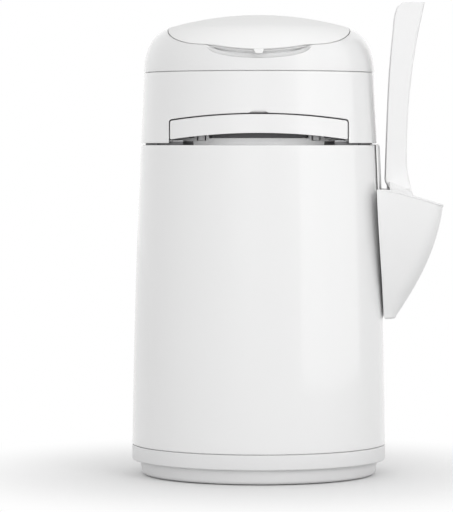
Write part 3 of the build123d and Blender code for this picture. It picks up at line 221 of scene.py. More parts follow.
class PailFinishes(PropertyGroup):
    """Colours of the finishes"""

    shell: colour("Shell", (0.84, 0.84, 0.84), "Colour of the bucket and the head")
    base: colour("Base", (0.78, 0.78, 0.782), "Colour of the skirt and foot")
    dome: colour("Dome", (0.82, 0.82, 0.82), "Colour of the dome cover")
    lid: colour("Lid", (0.79, 0.79, 0.79), "Colour of the lid")
    handle: colour("Handle", (0.84, 0.84, 0.84), "Colour of the pull handle")
    inner: colour("Inner mouldings", (0.80, 0.80, 0.805), "Colour of the parts inside the head")
    cassette: colour("Cassette", (0.30, 0.31, 0.33), "Colour of the refill cassette")
    holder: colour("Scoop holder", (0.87, 0.87, 0.87), "Colour of the scoop's holder")
    scoop: colour("Scoop", (0.67, 0.67, 0.67), "Colour of the scoop")
    rubber: colour("Rubber", (0.035, 0.035, 0.037), "Colour of the pads, seal and foot ring")
    film: colour("Film", (0.66, 0.72, 0.76), "Colour of the packed film")
    floor: colour("Floor", (0.93, 0.93, 0.93), "Colour of the studio floor")


class PailMesh(PropertyGroup):
    """Fineness of the meshes"""

    around: IntProperty(
        name="Columns",
        description="Mesh columns around the pail",
        default=256,
        min=64,
        max=512,
    )
    arc_steps: IntProperty(
        name="Arc steps",
        description="Mesh steps in each moulded edge",
        default=4,
        min=2,
        max=12,
    )


# ---- mesh helpers -------------------------------------------------------------------


def new_piece(name, form, body, slot, finish=None, smooth_angle=SMOOTH_ANGLE):
    """A piece of verts and faces that rides on a body, in its slot's finish or one of its own."""
    piece = loose(*form, name, smooth_angle)
    piece.data.materials.append(finish_named(finish or slot))
    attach(piece, body)
    return piece


def discard(piece):
    """Deletes a temporary piece and its mesh."""
    mesh = piece.data
    bpy.data.objects.remove(piece)
    bpy.data.meshes.remove(mesh)


def finish_mesh(piece, smooth_angle=SMOOTH_ANGLE):
    """Makes the faces face outwards and shades them smooth up to an angle."""
    form = bmesh.new()
    form.from_mesh(piece.data)
    bmesh.ops.remove_doubles(form, verts=form.verts, dist=1e-7)
    bmesh.ops.recalc_face_normals(form, faces=form.faces)
    form.to_mesh(piece.data)
    form.free()
    shade_smooth(piece.data, smooth_angle)


def shade_smooth(mesh, smooth_angle=SMOOTH_ANGLE):
    """Smooth shading over every edge that turns by less than an angle."""
    mesh.shade_smooth()
    mesh.set_sharp_from_angle(angle=math.radians(smooth_angle))


def apply_modifiers(piece):
    """Turns the piece's modifiers into plain mesh."""
    graph = bpy.context.evaluated_depsgraph_get()
    mesh = bpy.data.meshes.new_from_object(piece.evaluated_get(graph))
    old = piece.data
    piece.modifiers.clear()
    piece.data = mesh
    mesh.name = old.name
    bpy.data.meshes.remove(old)


def bevel(piece, width, segments=3, angle=35.0):
    """Rounds the piece's sharp edges."""
    rounding = piece.modifiers.new("rounding", "BEVEL")
    rounding.width = width
    rounding.segments = segments
    rounding.limit_method = "ANGLE"
    rounding.angle_limit = math.radians(angle)
    rounding.use_clamp_overlap = True
    rounding.miter_outer = "MITER_ARC"
    apply_modifiers(piece)
    finish_mesh(piece)


def cut_away(piece, cutters):
    """Cuts temporary pieces out of a piece."""
    for cutter in cutters:
        cut = piece.modifiers.new("cut", "BOOLEAN")
        cut.operation = "DIFFERENCE"
        cut.solver = "EXACT"
        cut.object = cutter
    bpy.context.view_layer.update()
    apply_modifiers(piece)
    for cutter in cutters:
        discard(cutter)
    finish_mesh(piece)


def merge(piece, others):
    """Joins temporary pieces' meshes into a piece."""
    form = bmesh.new()
    form.from_mesh(piece.data)
    for other in others:
        form.from_mesh(other.data)
        discard(other)
    form.to_mesh(piece.data)
    form.free()
    shade_smooth(piece.data)


def loose(verts, faces, name="loose", smooth_angle=SMOOTH_ANGLE):
    """A temporary piece, to be cut away or joined."""
    mesh = bpy.data.meshes.new(name)
    mesh.from_pydata([tuple(v) for v in verts], [], faces)
    mesh.validate()
    piece = bpy.data.objects.new(name, mesh)
    bpy.context.scene.collection.objects.link(piece)
    finish_mesh(piece, smooth_angle)
    return piece


def rounded_path(points, radii, steps):
    """Open path of (a, b) points, each inner corner rounded by its own radius."""
    path = [points[0]]
    for i, radius in enumerate(radii, 1):
        before, here, after = (Vector(p) for p in points[i - 1:i + 2])
        a, b = before - here, after - here
        if radius <= 0:
            path.append(tuple(here))
            continue
        turn = a.angle(b)
        reach = min(radius / math.tan(turn / 2), a.length * 0.49, b.length * 0.49)
        radius = reach * math.tan(turn / 2)
        a.normalize()
        b.normalize()
        centre = here + (a + b).normalized() * (radius / math.sin(turn / 2))
        start, end = here + a * reach - centre, here + b * reach - centre
        sweep = start.angle_signed(end)
        for k in range(steps + 1):
            t = sweep * k / steps
            c, s = math.cos(-t), math.sin(-t)
            x, y = start.x * c - start.y * s, start.x * s + start.y * c
            path.append((centre.x + x, centre.y + y))
    path.append(points[-1])
    return path


def ring_faces(around, rings):
    """Quads of a grid stored ring by ring that also closes from its last ring to its first."""
    last = (rings - 1) * around
    seam = [[last + i, last + (i + 1) % around, (i + 1) % around, i] for i in range(around)]
    return grid_faces(around, rings, wrap=True) + seam


def capped_faces(around, rings):
    """Quads of a tube stored ring by ring, with a face over each end."""
    ends = [list(range(around)), list(range(around * (rings - 1), around * rings))]
    return grid_faces(around, rings, wrap=True) + ends


def lathe(profile, around, ratio, closed=False):
    """Verts and faces of an oval turned form from (half-width, height) points."""
    verts, rings, faces = [], [], []
    for r, z in profile:
        if abs(r) < 1e-9:
            rings.append([len(verts)])
            verts.append((0.0, 0.0, z))
            continue
        first = len(verts)
        for i in range(around):
            turn = 2 * PI * i / around
            verts.append((r * math.sin(turn), -r * ratio * math.cos(turn), z))
        rings.append(list(range(first, first + around)))
    pairs = list(zip(rings, rings[1:]))
    if closed:
        pairs.append((rings[-1], rings[0]))
    for a, b in pairs:
        for i in range(around):
            j = (i + 1) % around
            ring = [a[i % len(a)], a[j % len(a)], b[j % len(b)], b[i % len(b)]]
            face = list(dict.fromkeys(ring))
            if len(face) > 2:
                faces.append(face)
    return verts, faces


def double_skin(outer, inner, faces):
    """Closed form from a sheet's outer and inner points, stitched along its borders."""
    count = len(outer)
    seen = {}
    for face in faces:
        for a, b in zip(face, face[1:] + face[:1]):
            key = (min(a, b), max(a, b))
            seen[key] = None if key in seen else (a, b)
    walls = [(b, a, a + count, b + count) for a, b in filter(None, seen.values())]
    back = [tuple(i + count for i in reversed(face)) for face in faces]
    return list(outer) + list(inner), [tuple(f) for f in faces] + back + walls


def grid_faces(columns, rows, wrap=False, first=0):
    """Quads of a grid stored row by row."""
    faces = []
    for j in range(rows - 1):
        for i in range(columns if wrap else columns - 1):
            k = (i + 1) % columns
            a, b = first + j * columns, first + (j + 1) * columns
            faces.append([a + i, a + k, b + k, b + i])
    return faces


def soft_block(low, high, radius):
    """Box between two corners with rounded edges, as a temporary piece."""
    form = bmesh.new()
    bmesh.ops.create_cube(form, size=1.0)
    for v in form.verts:
        v.co = Vector([(h + l) / 2 + x * (h - l) for l, h, x in zip(low, high, v.co)])
    bmesh.ops.bevel(form, geom=form.edges, offset=radius, segments=3, profile=0.5, affect="EDGES")
    mesh = bpy.data.meshes.new("block")
    form.to_mesh(mesh)
    form.free()
    piece = bpy.data.objects.new("block", mesh)
    bpy.context.scene.collection.objects.link(piece)
    shade_smooth(mesh, 40.0)
    return piece


def prism(outline, axis, low, high, radius=0.0):
    """Prism of an outline between two levels, with rounded rims, as a temporary piece.

    axis 0 runs along X with an outline in (y, z), axis 2 along Z with one in (x, y)."""
    rims = [(low, 0.0), (high, 0.0)]
    if radius > 0:
        rims = [(low, radius), (low + radius, 0.0), (high - radius, 0.0), (high, radius)]
    centre = Vector((sum(p[0] for p in outline), sum(p[1] for p in outline))) / len(outline)
    verts = []
    for level, inset in rims:
        for p in outline:
            q = Vector(p)
            q = q + (centre - q).normalized() * inset
            verts.append((level, q.x, q.y) if axis == 0 else (q.x, q.y, level))
    return loose(verts, capped_faces(len(outline), len(rims)))


def side_prism(outline, low, high, radius=0.4 * MM):
    """Prism along Y of an outline in (x, z), with every edge rounded, as a temporary piece."""
    verts = [(x, y, z) for y in (low, high) for x, z in outline]
    piece = loose(verts, capped_faces(len(outline), 2))
    bevel(piece, radius, 2, 25.0)
    return piece


def ring_points(radius, centre, steps=32):
    """Points of a circle round a centre."""
    turns = [2 * PI * k / steps for k in range(steps)]
    return [(centre[0] + radius * math.cos(a), centre[1] + radius * math.sin(a)) for a in turns]


def knuckle(x0, x1, y, z, radius, wall_y, low, high):
    """Hinge knuckle along X on a web that reaches to a wall between two heights."""
    behind = wall_y < y
    steps = 32
    outline = []
    for k in range(steps + 1):
        turn = PI * k / steps + (-PI / 2 if behind else PI / 2)
        outline.append((y + radius * math.cos(turn), z + radius * math.sin(turn)))
    if behind:
        outline += [(y - radius * 0.4, min(high, z + radius)), (wall_y, high), (wall_y, low)]
    else:
        outline += [(wall_y, low), (wall_y, high)]
    return prism(outline, 0, x0, x1, 0.35 * MM)


def middle_knuckle(*place):
    """The knuckle in the middle of a hinge."""
    return knuckle(-KNUCKLE_HALF, KNUCKLE_HALF, *place)


def outer_knuckles(*place):
    """The two knuckles beside the middle one."""
    near = KNUCKLE_HALF + KNUCKLE_GAP
    far = near + KNUCKLE_SIDE
    return [knuckle(x0, x1, *place) for x0, x1 in ((-far, -near), (near, far))]


def back_hinge(half, level, out, up, radius):
    """Axis, radius and wall of the knuckles behind an oval of a half-width at a level."""
    ratio = bpy.context.scene.pail_body.plan_ratio
    return half * ratio + out, level + up, radius, (half - 1.0 * MM) * ratio


def head_hinge():
    """Axis, radius and wall of the knuckles between the bucket and the head."""
    body = bpy.context.scene.pail_body
    return back_hinge(body.rim_half_width, body.rim, 4.7 * MM, 0.9 * MM, 4.2 * MM)


def cover_hinge():
    """Axis, radius and wall of the knuckles between the head and the dome."""
    head = bpy.context.scene.pail_head
    return back_hinge(head.top_half_width, head.top, 4.1 * MM, 0.3 * MM, 3.6 * MM)


# ---- surfaces -----------------------------------------------------------------------


def bucket_half(z):
    """Half-width of the bucket's outside at a height."""
    body = bpy.context.scene.pail_body
    up = (z - body.bucket_bottom) / (body.rim - body.bucket_bottom)
    chord = body.skirt_half_width + (body.rim_half_width - body.skirt_half_width) * up
    return chord + body.bulge * 4 * up * (1 - up)


def holder_back(z):
    """Distance from the middle of the holder's back at a height."""
    return bucket_half(z) + HOLDER_GAP


def head_half(z):
    """Half-width of the head's outside at a height."""
    body, head = bpy.context.scene.pail_body, bpy.context.scene.pail_head
    up = (z - head.low) / (head.top - head.low)
    return body.rim_half_width + (head.top_half_width - body.rim_half_width) * up


class DomeCurve:
    """Meridian of the dome: crown, shoulder and brow arcs and a straight side."""

    def __init__(self):
        scene = bpy.context.scene
        body, head, dome = scene.pail_body, scene.pail_head, scene.pail_dome
        self.low = dome.low
        taper = math.atan((body.rim_half_width - head.top_half_width) / (head.top - head.low))
        self.side_turn = PI / 2 - taper
        side_x = head.top_half_width - dome.side * math.tan(taper)
        brow = (
            side_x - dome.brow_radius * math.sin(self.side_turn),
            dome.low + dome.side - dome.brow_radius * math.cos(self.side_turn),
        )
        reach = dome.brow_radius - dome.shoulder_radius
        shoulder = (
            brow[0] + reach * math.sin(dome.brow_turn),
            brow[1] + reach * math.cos(dome.brow_turn),
        )
        span = dome.crown_radius - dome.shoulder_radius
        crown_turn = math.asin(shoulder[0] / span)
        crown = (0.0, shoulder[1] - span * math.cos(crown_turn))
        self.top = crown[1] + dome.crown_radius
        self.arcs = [
            (crown, dome.crown_radius, 0.0, crown_turn),
            (shoulder, dome.shoulder_radius, crown_turn, dome.brow_turn),
            (brow, dome.brow_radius, dome.brow_turn, self.side_turn),
        ]
        self.lengths = [radius * (end - start) for _, radius, start, end in self.arcs]
        self.side_length = dome.side / math.sin(self.side_turn)
        self.total = sum(self.lengths) + self.side_length

    def point(self, s, inset=0.0):
        """(half-width, height) at a distance s from the crown, drawn in by inset."""
        for (centre, radius, start, end), span in zip(self.arcs, self.lengths):
            if s <= span:
                turn = start + s / radius
                return self._at(centre, radius - inset, turn)
            s -= span
        centre, radius, _, end = self.arcs[-1]
        r, z = self._at(centre, radius - inset, end)
        return r + s * math.cos(end), z - s * math.sin(end)

    @staticmethod
    def _at(centre, radius, turn):
        """Point of an arc at an angle from straight up."""
        return centre[0] + radius * math.sin(turn), centre[1] + radius * math.cos(turn)

    def at_height(self, target, start=0.0, inset=0.0):
        """Distance from the crown at which the height falls to target."""
        return last_held(start, self.total, lambda s: self.point(s, inset)[1] > target)


def smooth_between(points, steps=14):
    """Catmull-Rom curve through points, with level and upright ends."""
    padded = [(2 * points[0][0] - points[1][0], points[0][1])] + list(points)
    padded.append((points[-1][0], points[-1][1] + (points[-1][1] - points[-2][1])))
    curve = []
    for p0, p1, p2, p3 in zip(padded, padded[1:], padded[2:], padded[3:]):
        for k in range(steps):
            t = k / steps
            t2, t3 = t * t, t ** 3
            weights = (2 * t2 - t - t3, 2 - 5 * t2 + 3 * t3, t + 4 * t2 - 3 * t3, t3 - t2)
            axes = zip(p0, p1, p2, p3)
            curve.append(tuple(sum(w * v for w, v in zip(weights, axis)) / 2 for axis in axes))
    curve.append(points[-1])
    return curve


class LidSeam:
    """Line where the lid meets the dome, as a distance from the crown for each column."""

    def __init__(self, curve):
        self.curve = curve
        self.ratio = bpy.context.scene.pail_body.plan_ratio
        dome = bpy.context.scene.pail_dome
        self.dome = dome
        level = dome.lid_level
        edge = [  # mm from the middle, mm over the level beside the recess
            (45.0, 0.5), (64.0, 2.2), (76.5, 6.1), (83.0, 10.9), (85.1, 15.3),
        ]
        scale = dome.lid_half / (edge[-1][0] * MM)
        self.edge = smooth_between([(x * MM * scale, level + up * MM) for x, up in edge])
        half, drop = dome.tongue_half, dome.tongue_drop + 0.3 * MM
        self.tongue_radius = (half * half + drop * drop) / (2 * drop)

    def height(self, x):
        """Height of the front edge line at a distance x from the middle."""
        x = abs(x)
        dome = self.dome
        low = dome.lid_level - dome.tongue_drop
        if x < dome.tongue_half + 1.2 * MM:
            return low + self.tongue_radius - math.sqrt(self.tongue_radius ** 2 - x * x)
        if x >= self.edge[-1][0]:
            steep = 50
            return self.edge[-1][1] + (x - self.edge[-1][0]) * steep
        for a, b in zip(self.edge, self.edge[1:]):
            if b[0] > x:
                t = (x - a[0]) / (b[0] - a[0])
                return a[1] + (b[1] - a[1]) * max(t, 0.0)
        return self.edge[-1][1]

    def inside(self, s, turn, grow):
        """Whether the surface point at s on a column belongs to the lid."""
        r, z = self.curve.point(s)
        x, y = r * math.sin(turn), -r * math.cos(turn) * self.ratio
        dome = self.dome
        if y < dome.lid_centre:
            wide = dome.lid_half + grow
            return abs(x) < wide and z > self.height(x * dome.lid_half / wide) - grow
        deep = dome.lid_back - dome.lid_centre + grow
        return (x / (dome.lid_half + grow)) ** 2 + ((y - dome.lid_centre) / deep) ** 2 < 1

    def reach(self, turn, grow=0.0):
        """Distance from the crown at which the lid ends on a column."""
        low, step = 0.0, 2.0 * MM
        while low + step < self.curve.total and self.inside(low + step, turn, grow):
            low += step
        return last_held(low, low + step, lambda s: self.inside(s, turn, grow))


# ---- finishes -----------------------------------------------------------------------


class Nodes:
    """A material's or world's node tree, with short calls to build it."""

    def __init__(self, owner):
        owner.use_nodes = True
        self.material = owner
        self.tree = owner.node_tree
        self.shader = self.tree.nodes.get("Principled BSDF")

    def add(self, kind, feeds, output=0, **settings):
        """A node's output; feeds gives its inputs values or other nodes' outputs."""
        node = self.tree.nodes.new(kind)
        for name, value in settings.items():
            setattr(node, name, value)
        for socket, value in feeds.items():
            if isinstance(value, bpy.types.NodeSocket):
                self.tree.links.new(value, node.inputs[socket])
            else:
                node.inputs[socket].default_value = value
        return node.outputs[output]

    def coords(self, kind="Object"):
        """Place of the shaded point."""
        return self.add("ShaderNodeTexCoord", {}, kind)

    def spread(self, source, from_low, from_high, low, high, **settings):
        """Maps a value from one range to another."""
        feeds = {"Value": source, "From Min": from_low, "From Max": from_high}
        return self.add("ShaderNodeMapRange", {**feeds, "To Min": low, "To Max": high}, **settings)

    def math(self, operation, *feeds):
        """Result of a sum of one or two values."""
        return self.add("ShaderNodeMath", dict(enumerate(feeds)), operation=operation)

    def noise(self, scale, detail=2.0, roughness=0.5, stretch=None):
        """Noise that can be stretched along an axis."""
        source = self.coords()
        if stretch:
            source = self.add("ShaderNodeMapping", {"Vector": source, "Scale": stretch})
        feeds = {"Vector": source, "Scale": scale, "Detail": detail, "Roughness": roughness}
        return self.add("ShaderNodeTexNoise", feeds, "Fac")

    def ramp(self, source, low, high):
        """Maps the span that a noise value covers to low-high."""
        return self.spread(source, *NOISE_SPAN, low, high)

    def tint(self, source, dark, light):
        """Colour between dark and light, led by a noise value."""
        colour = self.add("ShaderNodeValToRGB", {"Fac": source}, "Color")
        for element, place, tone in zip(colour.node.color_ramp.elements, NOISE_SPAN, (dark, light)):
            element.position = place
            element.color = (*tone, 1)
        return colour

    def bump(self, source, strength, distance):
        """Relief of a noise value."""
        feeds = {"Height": source, "Strength": strength, "Distance": distance}
        return self.add("ShaderNodeBump", feeds)

    def join(self, source, socket):
        """Leads a value into the material's shader."""
        self.tree.links.new(source, self.shader.inputs[socket])

    def show(self, surface, output="Material Output"):
        """Leads a surface into the tree's output."""
        self.tree.links.new(surface, self.tree.nodes[output].inputs["Surface"])


def new_material(name):
    """Node tree of a new material."""
    return Nodes(bpy.data.materials.new(name))


def shade(colour_value, factor):
    """A colour made darker or lighter by a factor."""
    return tuple(min(1.0, c * factor) for c in colour_value)


def moulded(name, base, rough, grain, mottle, coat=0.0):
    """Moulded plastic: fine spark-eroded grain, faint flow mottling and uneven sheen."""
    nodes = new_material(name)
    flow = nodes.noise(9.0, 1.0, 0.4, (1.0, 1.0, 0.35))
    fine = nodes.noise(2600.0, 2.0, 0.6)
    wear = nodes.noise(22.0, 2.0, 0.5)
    nodes.join(nodes.tint(flow, shade(base, 1 - mottle), shade(base, 1 + mottle)), "Base Color")
    nodes.join(nodes.ramp(wear, *rough), "Roughness")
    nodes.join(nodes.bump(fine, grain, 0.02 * MM), "Normal")
    nodes.shader.inputs["Specular IOR Level"].default_value = 0.5
    nodes.shader.inputs["IOR"].default_value = 1.5
    if coat:
        nodes.shader.inputs["Coat Weight"].default_value = coat
        nodes.shader.inputs["Coat Roughness"].default_value = 0.06
    return nodes.material


def frame_plastic_with_painted_shade(name, base):
    """Moulded plastic of the jaw frame with painted shade: dark grey under the head's lower edge,
    where the gap lies in shade, its own colour above it.

    The line between them lies at one height in the middle and lower at the sides."""
    nodes = Nodes(moulded(name, base, (0.40, 0.52), 0.12, 0.02))
    place = nodes.add("ShaderNodeSeparateXYZ", {0: nodes.coords()}).node.outputs
    across = nodes.math("ABSOLUTE", place["X"])
    corner = nodes.spread(across, 60.0 * MM, 61.0 * MM, -6.0 * MM, 1.7 * MM)
    height = nodes.math("SUBTRACT", place["Z"], corner)
    above_painted_shade = nodes.spread(height, 314.7 * MM, 315.0 * MM, 0.0, 1.0)
    tint = nodes.tree.nodes["Color Ramp"].outputs["Color"]
    mix = nodes.add("ShaderNodeMix", {"Factor": above_painted_shade}, "Result", data_type="RGBA").node
    # painted shade: the dark grey under the line stands in for the shade in the gap under the head
    mix.inputs["A"].default_value = (0.16, 0.16, 0.165, 1)
    nodes.tree.links.new(tint, mix.inputs["B"])
    nodes.join(mix.outputs["Result"], "Base Color")
    return nodes.material


def rubber(name, base):
    """Matt rubber with a dusty bloom and a fine pebble."""
    nodes = new_material(name)
    bloom = nodes.noise(60.0, 5.0, 0.65)
    pebble = nodes.noise(1400.0, 3.0, 0.6)
    nodes.join(nodes.tint(bloom, shade(base, 0.8), shade(base, 1.6)), "Base Color")
    nodes.join(nodes.ramp(bloom, 0.62, 0.8), "Roughness")
    nodes.join(nodes.bump(pebble, 0.25, 0.1 * MM), "Normal")
    nodes.shader.inputs["Specular IOR Level"].default_value = 0.3
    return nodes.material


def steel(name, base, stretch, rough=(0.24, 0.36)):
    """Drawn or ground steel, with lines along one direction and a zinc mottle."""
    nodes = new_material(name)
    lines = nodes.noise(900.0, 3.0, 0.6, stretch)
    spots = nodes.noise(420.0, 3.0, 0.6)
    nodes.join(nodes.tint(spots, shade(base, 0.85), shade(base, 1.1)), "Base Color")
    nodes.join(nodes.ramp(lines, *rough), "Roughness")
    nodes.join(nodes.bump(lines, 0.2, 0.03 * MM), "Normal")
    nodes.shader.inputs["Metallic"].default_value = 1.0
    return nodes.material


def packed_film(name, base):
    """Thin pleated film: fine upright folds and a soft gloss."""
    nodes = new_material(name)
    folds = nodes.noise(700.0, 3.0, 0.6, (1.0, 1.0, 0.06))
    haze = nodes.noise(40.0, 3.0, 0.5)
    nodes.join(nodes.tint(haze, shade(base, 0.92), shade(base, 1.05)), "Base Color")
    nodes.join(nodes.ramp(folds, 0.22, 0.42), "Roughness")
    nodes.join(nodes.bump(folds, 0.5, 0.3 * MM), "Normal")
    return nodes.material


def finish_named(key):
    """The finish for one of the record's material slots, made when it is first needed."""
    tone = bpy.context.scene.pail_finish
    kind, name, *values = {
        "white_plastic": (
            moulded, "white_shell_plastic", tone.shell, (0.30, 0.36), 0.04, 0.006, 0.9
        ),
        "base_plastic": (moulded, "base_skirt_plastic", tone.base, (0.34, 0.42), 0.10, 0.012),
        "dome_plastic": (moulded, "dome_cover_plastic", tone.dome, (0.30, 0.36), 0.05, 0.008, 0.7),
        "lid_plastic": (moulded, "lid_plastic", tone.lid, (0.34, 0.40), 0.05, 0.008, 0.4),
        "handle_plastic": (
            moulded, "pull_handle_plastic", tone.handle, (0.28, 0.34), 0.04, 0.006, 0.7
        ),
        "inner_plastic": (moulded, "inner_frame_plastic", tone.inner, (0.40, 0.52), 0.22, 0.02),
        "grey_plastic": (moulded, "cassette_plastic", tone.cassette, (0.38, 0.50), 0.25, 0.04),
        "scoop_plastic": (moulded, "scoop_plastic", tone.scoop, (0.32, 0.38), 0.08, 0.012),
        "holder_plastic": (moulded, "holder_plastic", tone.holder, (0.32, 0.38), 0.08, 0.012),
        "jaw_rubber": (rubber, "pad_rubber", tone.rubber),
        "foot_rubber": (rubber, "pad_rubber", tone.rubber),
        "seal_rubber": (rubber, "pad_rubber", tone.rubber),
        "screw_steel": (
            steel, "zinc_screw_steel", (0.60, 0.60, 0.58), (1.0, 1.0, 1.0), (0.28, 0.42)
        ),
        "spring_steel": (steel, "spring_wire_steel", (0.52, 0.53, 0.55), (1.0, 0.2, 1.0)),
        "blade_steel": (
            steel, "blade_ground_steel", (0.68, 0.69, 0.70), (1.0, 0.1, 1.0), (0.16, 0.26)
        ),
        "pin_steel": (steel, "hinge_pin_steel", (0.60, 0.61, 0.62), (0.1, 1.0, 1.0)),
        "film": (packed_film, "packed_film", tone.film),
    }[key]
    return bpy.data.materials.get(name) or kind(name, *values)


# ---- pieces -------------------------------------------------------------------------


class PAIL_OT_stage(Operator):
    """Floor, backdrop, studio lamps, world and camera"""

    bl_idname = "pail.stage"
    bl_label = "Build Stage"

    def execute(self, context):
        scene = context.scene
        self.floor(scene)
        aim = (0.0, 0.0, 0.25)
        key = self.lamp(scene, "key_soft", (1.35, -2.0, 0.95), aim, (1.2, 1.2), 12.0)
        left = self.lamp(scene, "front_left", (-0.5, -2.4, 0.5), aim, (1.2, 0.8), 11.0)
        aim = (0.0, 0.0, 0.6)
        gloss = self.lamp(scene, "gloss_panel", (1.56, -0.68, 0.6), aim, (2.1, 2.8), 18.0)
        key.visible_glossy = left.visible_glossy = False
        gloss.visible_diffuse = False
        self.world(scene)
        self.camera(scene)
        scene.view_settings.view_transform = "Standard"
        return {"FINISHED"}

    def floor(self, scene):
        """Pale floor that runs out to plain white and still takes the pail's shadow."""
        tone = scene.pail_finish.floor
        side = 9.0
        verts = [(-side, -side, 0), (side, -side, 0), (side, side, 0), (-side, side, 0)]
        mesh = bpy.data.meshes.new("studio_floor")
        mesh.from_pydata(verts, [], [(0, 1, 2, 3)])
        floor = bpy.data.objects.new("studio_floor", mesh)
        scene.collection.objects.link(floor)
        nodes = new_material("studio_floor_paper")
        nodes.join(nodes.tint(nodes.noise(3.0), shade(tone, 0.995), shade(tone, 1.0)), "Base Color")
        nodes.shader.inputs["Roughness"].default_value = 0.9
        nodes.shader.inputs["Specular IOR Level"].default_value = 0.05
        dim = nodes.add("ShaderNodeBsdfDiffuse", {"Color": (0.54, 0.54, 0.54, 1)})
        white = nodes.add("ShaderNodeEmission", {"Color": (1, 1, 1, 1), "Strength": 1.0})
        away = nodes.add("ShaderNodeVectorMath", {0: nodes.coords()}, "Value", operation="LENGTH")
        fade = (0.12, 0.36)  # distances between which the floor turns white
        reach = nodes.spread(away, *fade, 0.0, 1.0, interpolation_type="SMOOTHSTEP")
        near = nodes.add("ShaderNodeMixShader", {0: reach, 1: nodes.shader.outputs[0], 2: white})
        nodes.show(nodes.add("ShaderNodeMixShader", {0: self.seen(nodes), 1: dim, 2: near}))
        mesh.materials.append(nodes.material)

    def seen(self, nodes):
        """1 on rays from the camera and those that gloss or glass sends on."""
        path = nodes.add("ShaderNodeLightPath", {}).node.outputs
        gloss = nodes.math("MAXIMUM", path["Is Camera Ray"], path["Is Glossy Ray"])
        return nodes.math("MAXIMUM", gloss, path["Is Transmission Ray"])

    def lamp(self, scene, name, place, aim, size, power):
        """Rectangular lamp that shines at a point."""
        data = bpy.data.lights.new(name, "AREA")
        data.shape = "RECTANGLE"
        data.size, data.size_y = size
        data.energy = power
        lamp = bpy.data.objects.new(name, data)
        scene.collection.objects.link(lamp)
        lamp.location = place
        lamp.rotation_euler = (Vector(aim) - Vector(place)).to_track_quat("-Z", "Y").to_euler()
        return lamp

    def world(self, scene):
        """White seen directly; a soft light on the pail, fuller from behind than from the front."""
        world = bpy.data.worlds.new("studio_world")
        nodes = Nodes(world)
        axes = nodes.add("ShaderNodeSeparateXYZ", {0: nodes.coords("Generated")}).node.outputs
        soft = {"interpolation_type": "SMOOTHSTEP"}
        # brighter from behind than from the front, and dimmer from above
        depth = nodes.spread(axes["Y"], -0.1, 0.85, 0.86, 1.1, **soft)
        overhead = nodes.spread(axes["Z"], 0.2, 0.9, 1.06, 0.72, **soft)
        fill = nodes.tree.nodes["Background"]
        fill.inputs["Color"].default_value = (1, 1, 1, 1)
        strength = nodes.math("MULTIPLY", depth, overhead)
        nodes.tree.links.new(strength, fill.inputs["Strength"])
        white = nodes.add("ShaderNodeBackground", {"Color": (1, 1, 1, 1), "Strength": 1.0})
        straight = nodes.add("ShaderNodeLightPath", {}, "Is Camera Ray")
        mix = nodes.add("ShaderNodeMixShader", {0: straight, 1: fill.outputs[0], 2: white})
        nodes.show(mix, "World Output")
        scene.world = world

    def camera(self, scene):
        """Level-standing camera with a long lens; its angles are pixels off the middle."""
        focal, rows, sensor = 2840.0, 512.0, 36.0
        data = bpy.data.cameras.new("view_camera")
        data.sensor_fit = "VERTICAL"
        data.sensor_height = sensor
        data.lens = focal * sensor / rows
        data.clip_end = 20.0
        camera = bpy.data.objects.new("view_camera", data)
        scene.collection.objects.link(camera)
        camera.location = (0.0, -2.7, 0.314)
        down = math.atan(112.0 / focal)
        left = math.atan(32.3 / focal)
        camera.rotation_euler = (PI / 2 - down, 0.0, left)
        scene.camera = camera


class PAIL_OT_base(Operator):
    """Base pan: rounded foot, skirt, screw sockets and pillars"""

    bl_idname = "pail.base"
    bl_label = "Build Base"

    def execute(self, context):
        body, grid = context.scene.pail_body, context.scene.pail_mesh
        foot, skirt, wall = body.foot_half_width, body.skirt_half_width, body.wall
        low, step, top = body.foot_bottom, body.foot_height, body.skirt_top
        floor = 2.8 * MM
        toe = foot - 2 * MM
        groove_in, groove_out, groove_top = 94.85 * MM, 104.15 * MM, 2.2 * MM
        inner = skirt - wall - 0.3 * MM
        lip, lip_top = inner - 1.8 * MM, 30.7 * MM
        corners = [  # half-width, height, and the corner's radius in mm
            (groove_in, low, 0.2), (groove_in, groove_top, 0.2),
            (groove_out, groove_top, 0.2), (groove_out, low, 0.2),
            (toe, low, 5.0), (foot, step, 0.5), (skirt, step, 1.5), (skirt, top, 0.8),
            (inner, top, 0.3), (inner, lip_top, 0.3), (lip, lip_top, 0.3),
            (lip, step + wall, 2.0), (foot - wall, step + wall, 1.0),
            (toe - wall, low + floor, 2.0),
        ]
        points = [(0.0, low)] + [(x, z) for x, z, _ in corners] + [(0.0, low + floor)]
        path = rounded_path(points, [r * MM for _, _, r in corners], grid.arc_steps + 2)
        form = lathe(densify(path, 9 * MM), grid.around, body.plan_ratio)
        pan = new_piece("base_pan_shell", form, "bucket", "base_plastic")
        cut_away(pan, [prism(ring_points(3.3 * MM, p), 2, 0.0, 2.9 * MM) for p in BASE_SCREWS])
        pillar_low, pillar_top = low + 2.4 * MM, 17.7 * MM
        merge(pan, [tube(p, BOSS_RADIUS, 1.7 * MM, pillar_low, pillar_top) for p in BASE_SCREWS])
        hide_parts("base_pan")
        return {"FINISHED"}


def densify(path, longest):
    """Adds points to a path so that no step is over longest."""
    dense = [path[0]]
    for a, b in zip(path, path[1:]):
        span = math.dist(a, b)
        count = max(1, math.ceil(span / longest))
        for k in range(1, count + 1):
            t = k / count
            dense.append((a[0] + (b[0] - a[0]) * t, a[1] + (b[1] - a[1]) * t))
    return dense


def tube(centre, outer, bore, low, high):
    """Upright tube with softened rims, as a temporary piece."""
    ease = 0.2 * MM
    loop = [
        (outer - ease, low), (outer, low + ease), (outer, high - ease), (outer - ease, high),
        (bore + ease, high), (bore, high - ease), (bore, low + ease), (bore + ease, low),
    ]
    verts, faces = lathe(loop, 32, 1.0, closed=True)
    return loose([(x + centre[0], y + centre[1], z) for x, y, z in verts], faces)


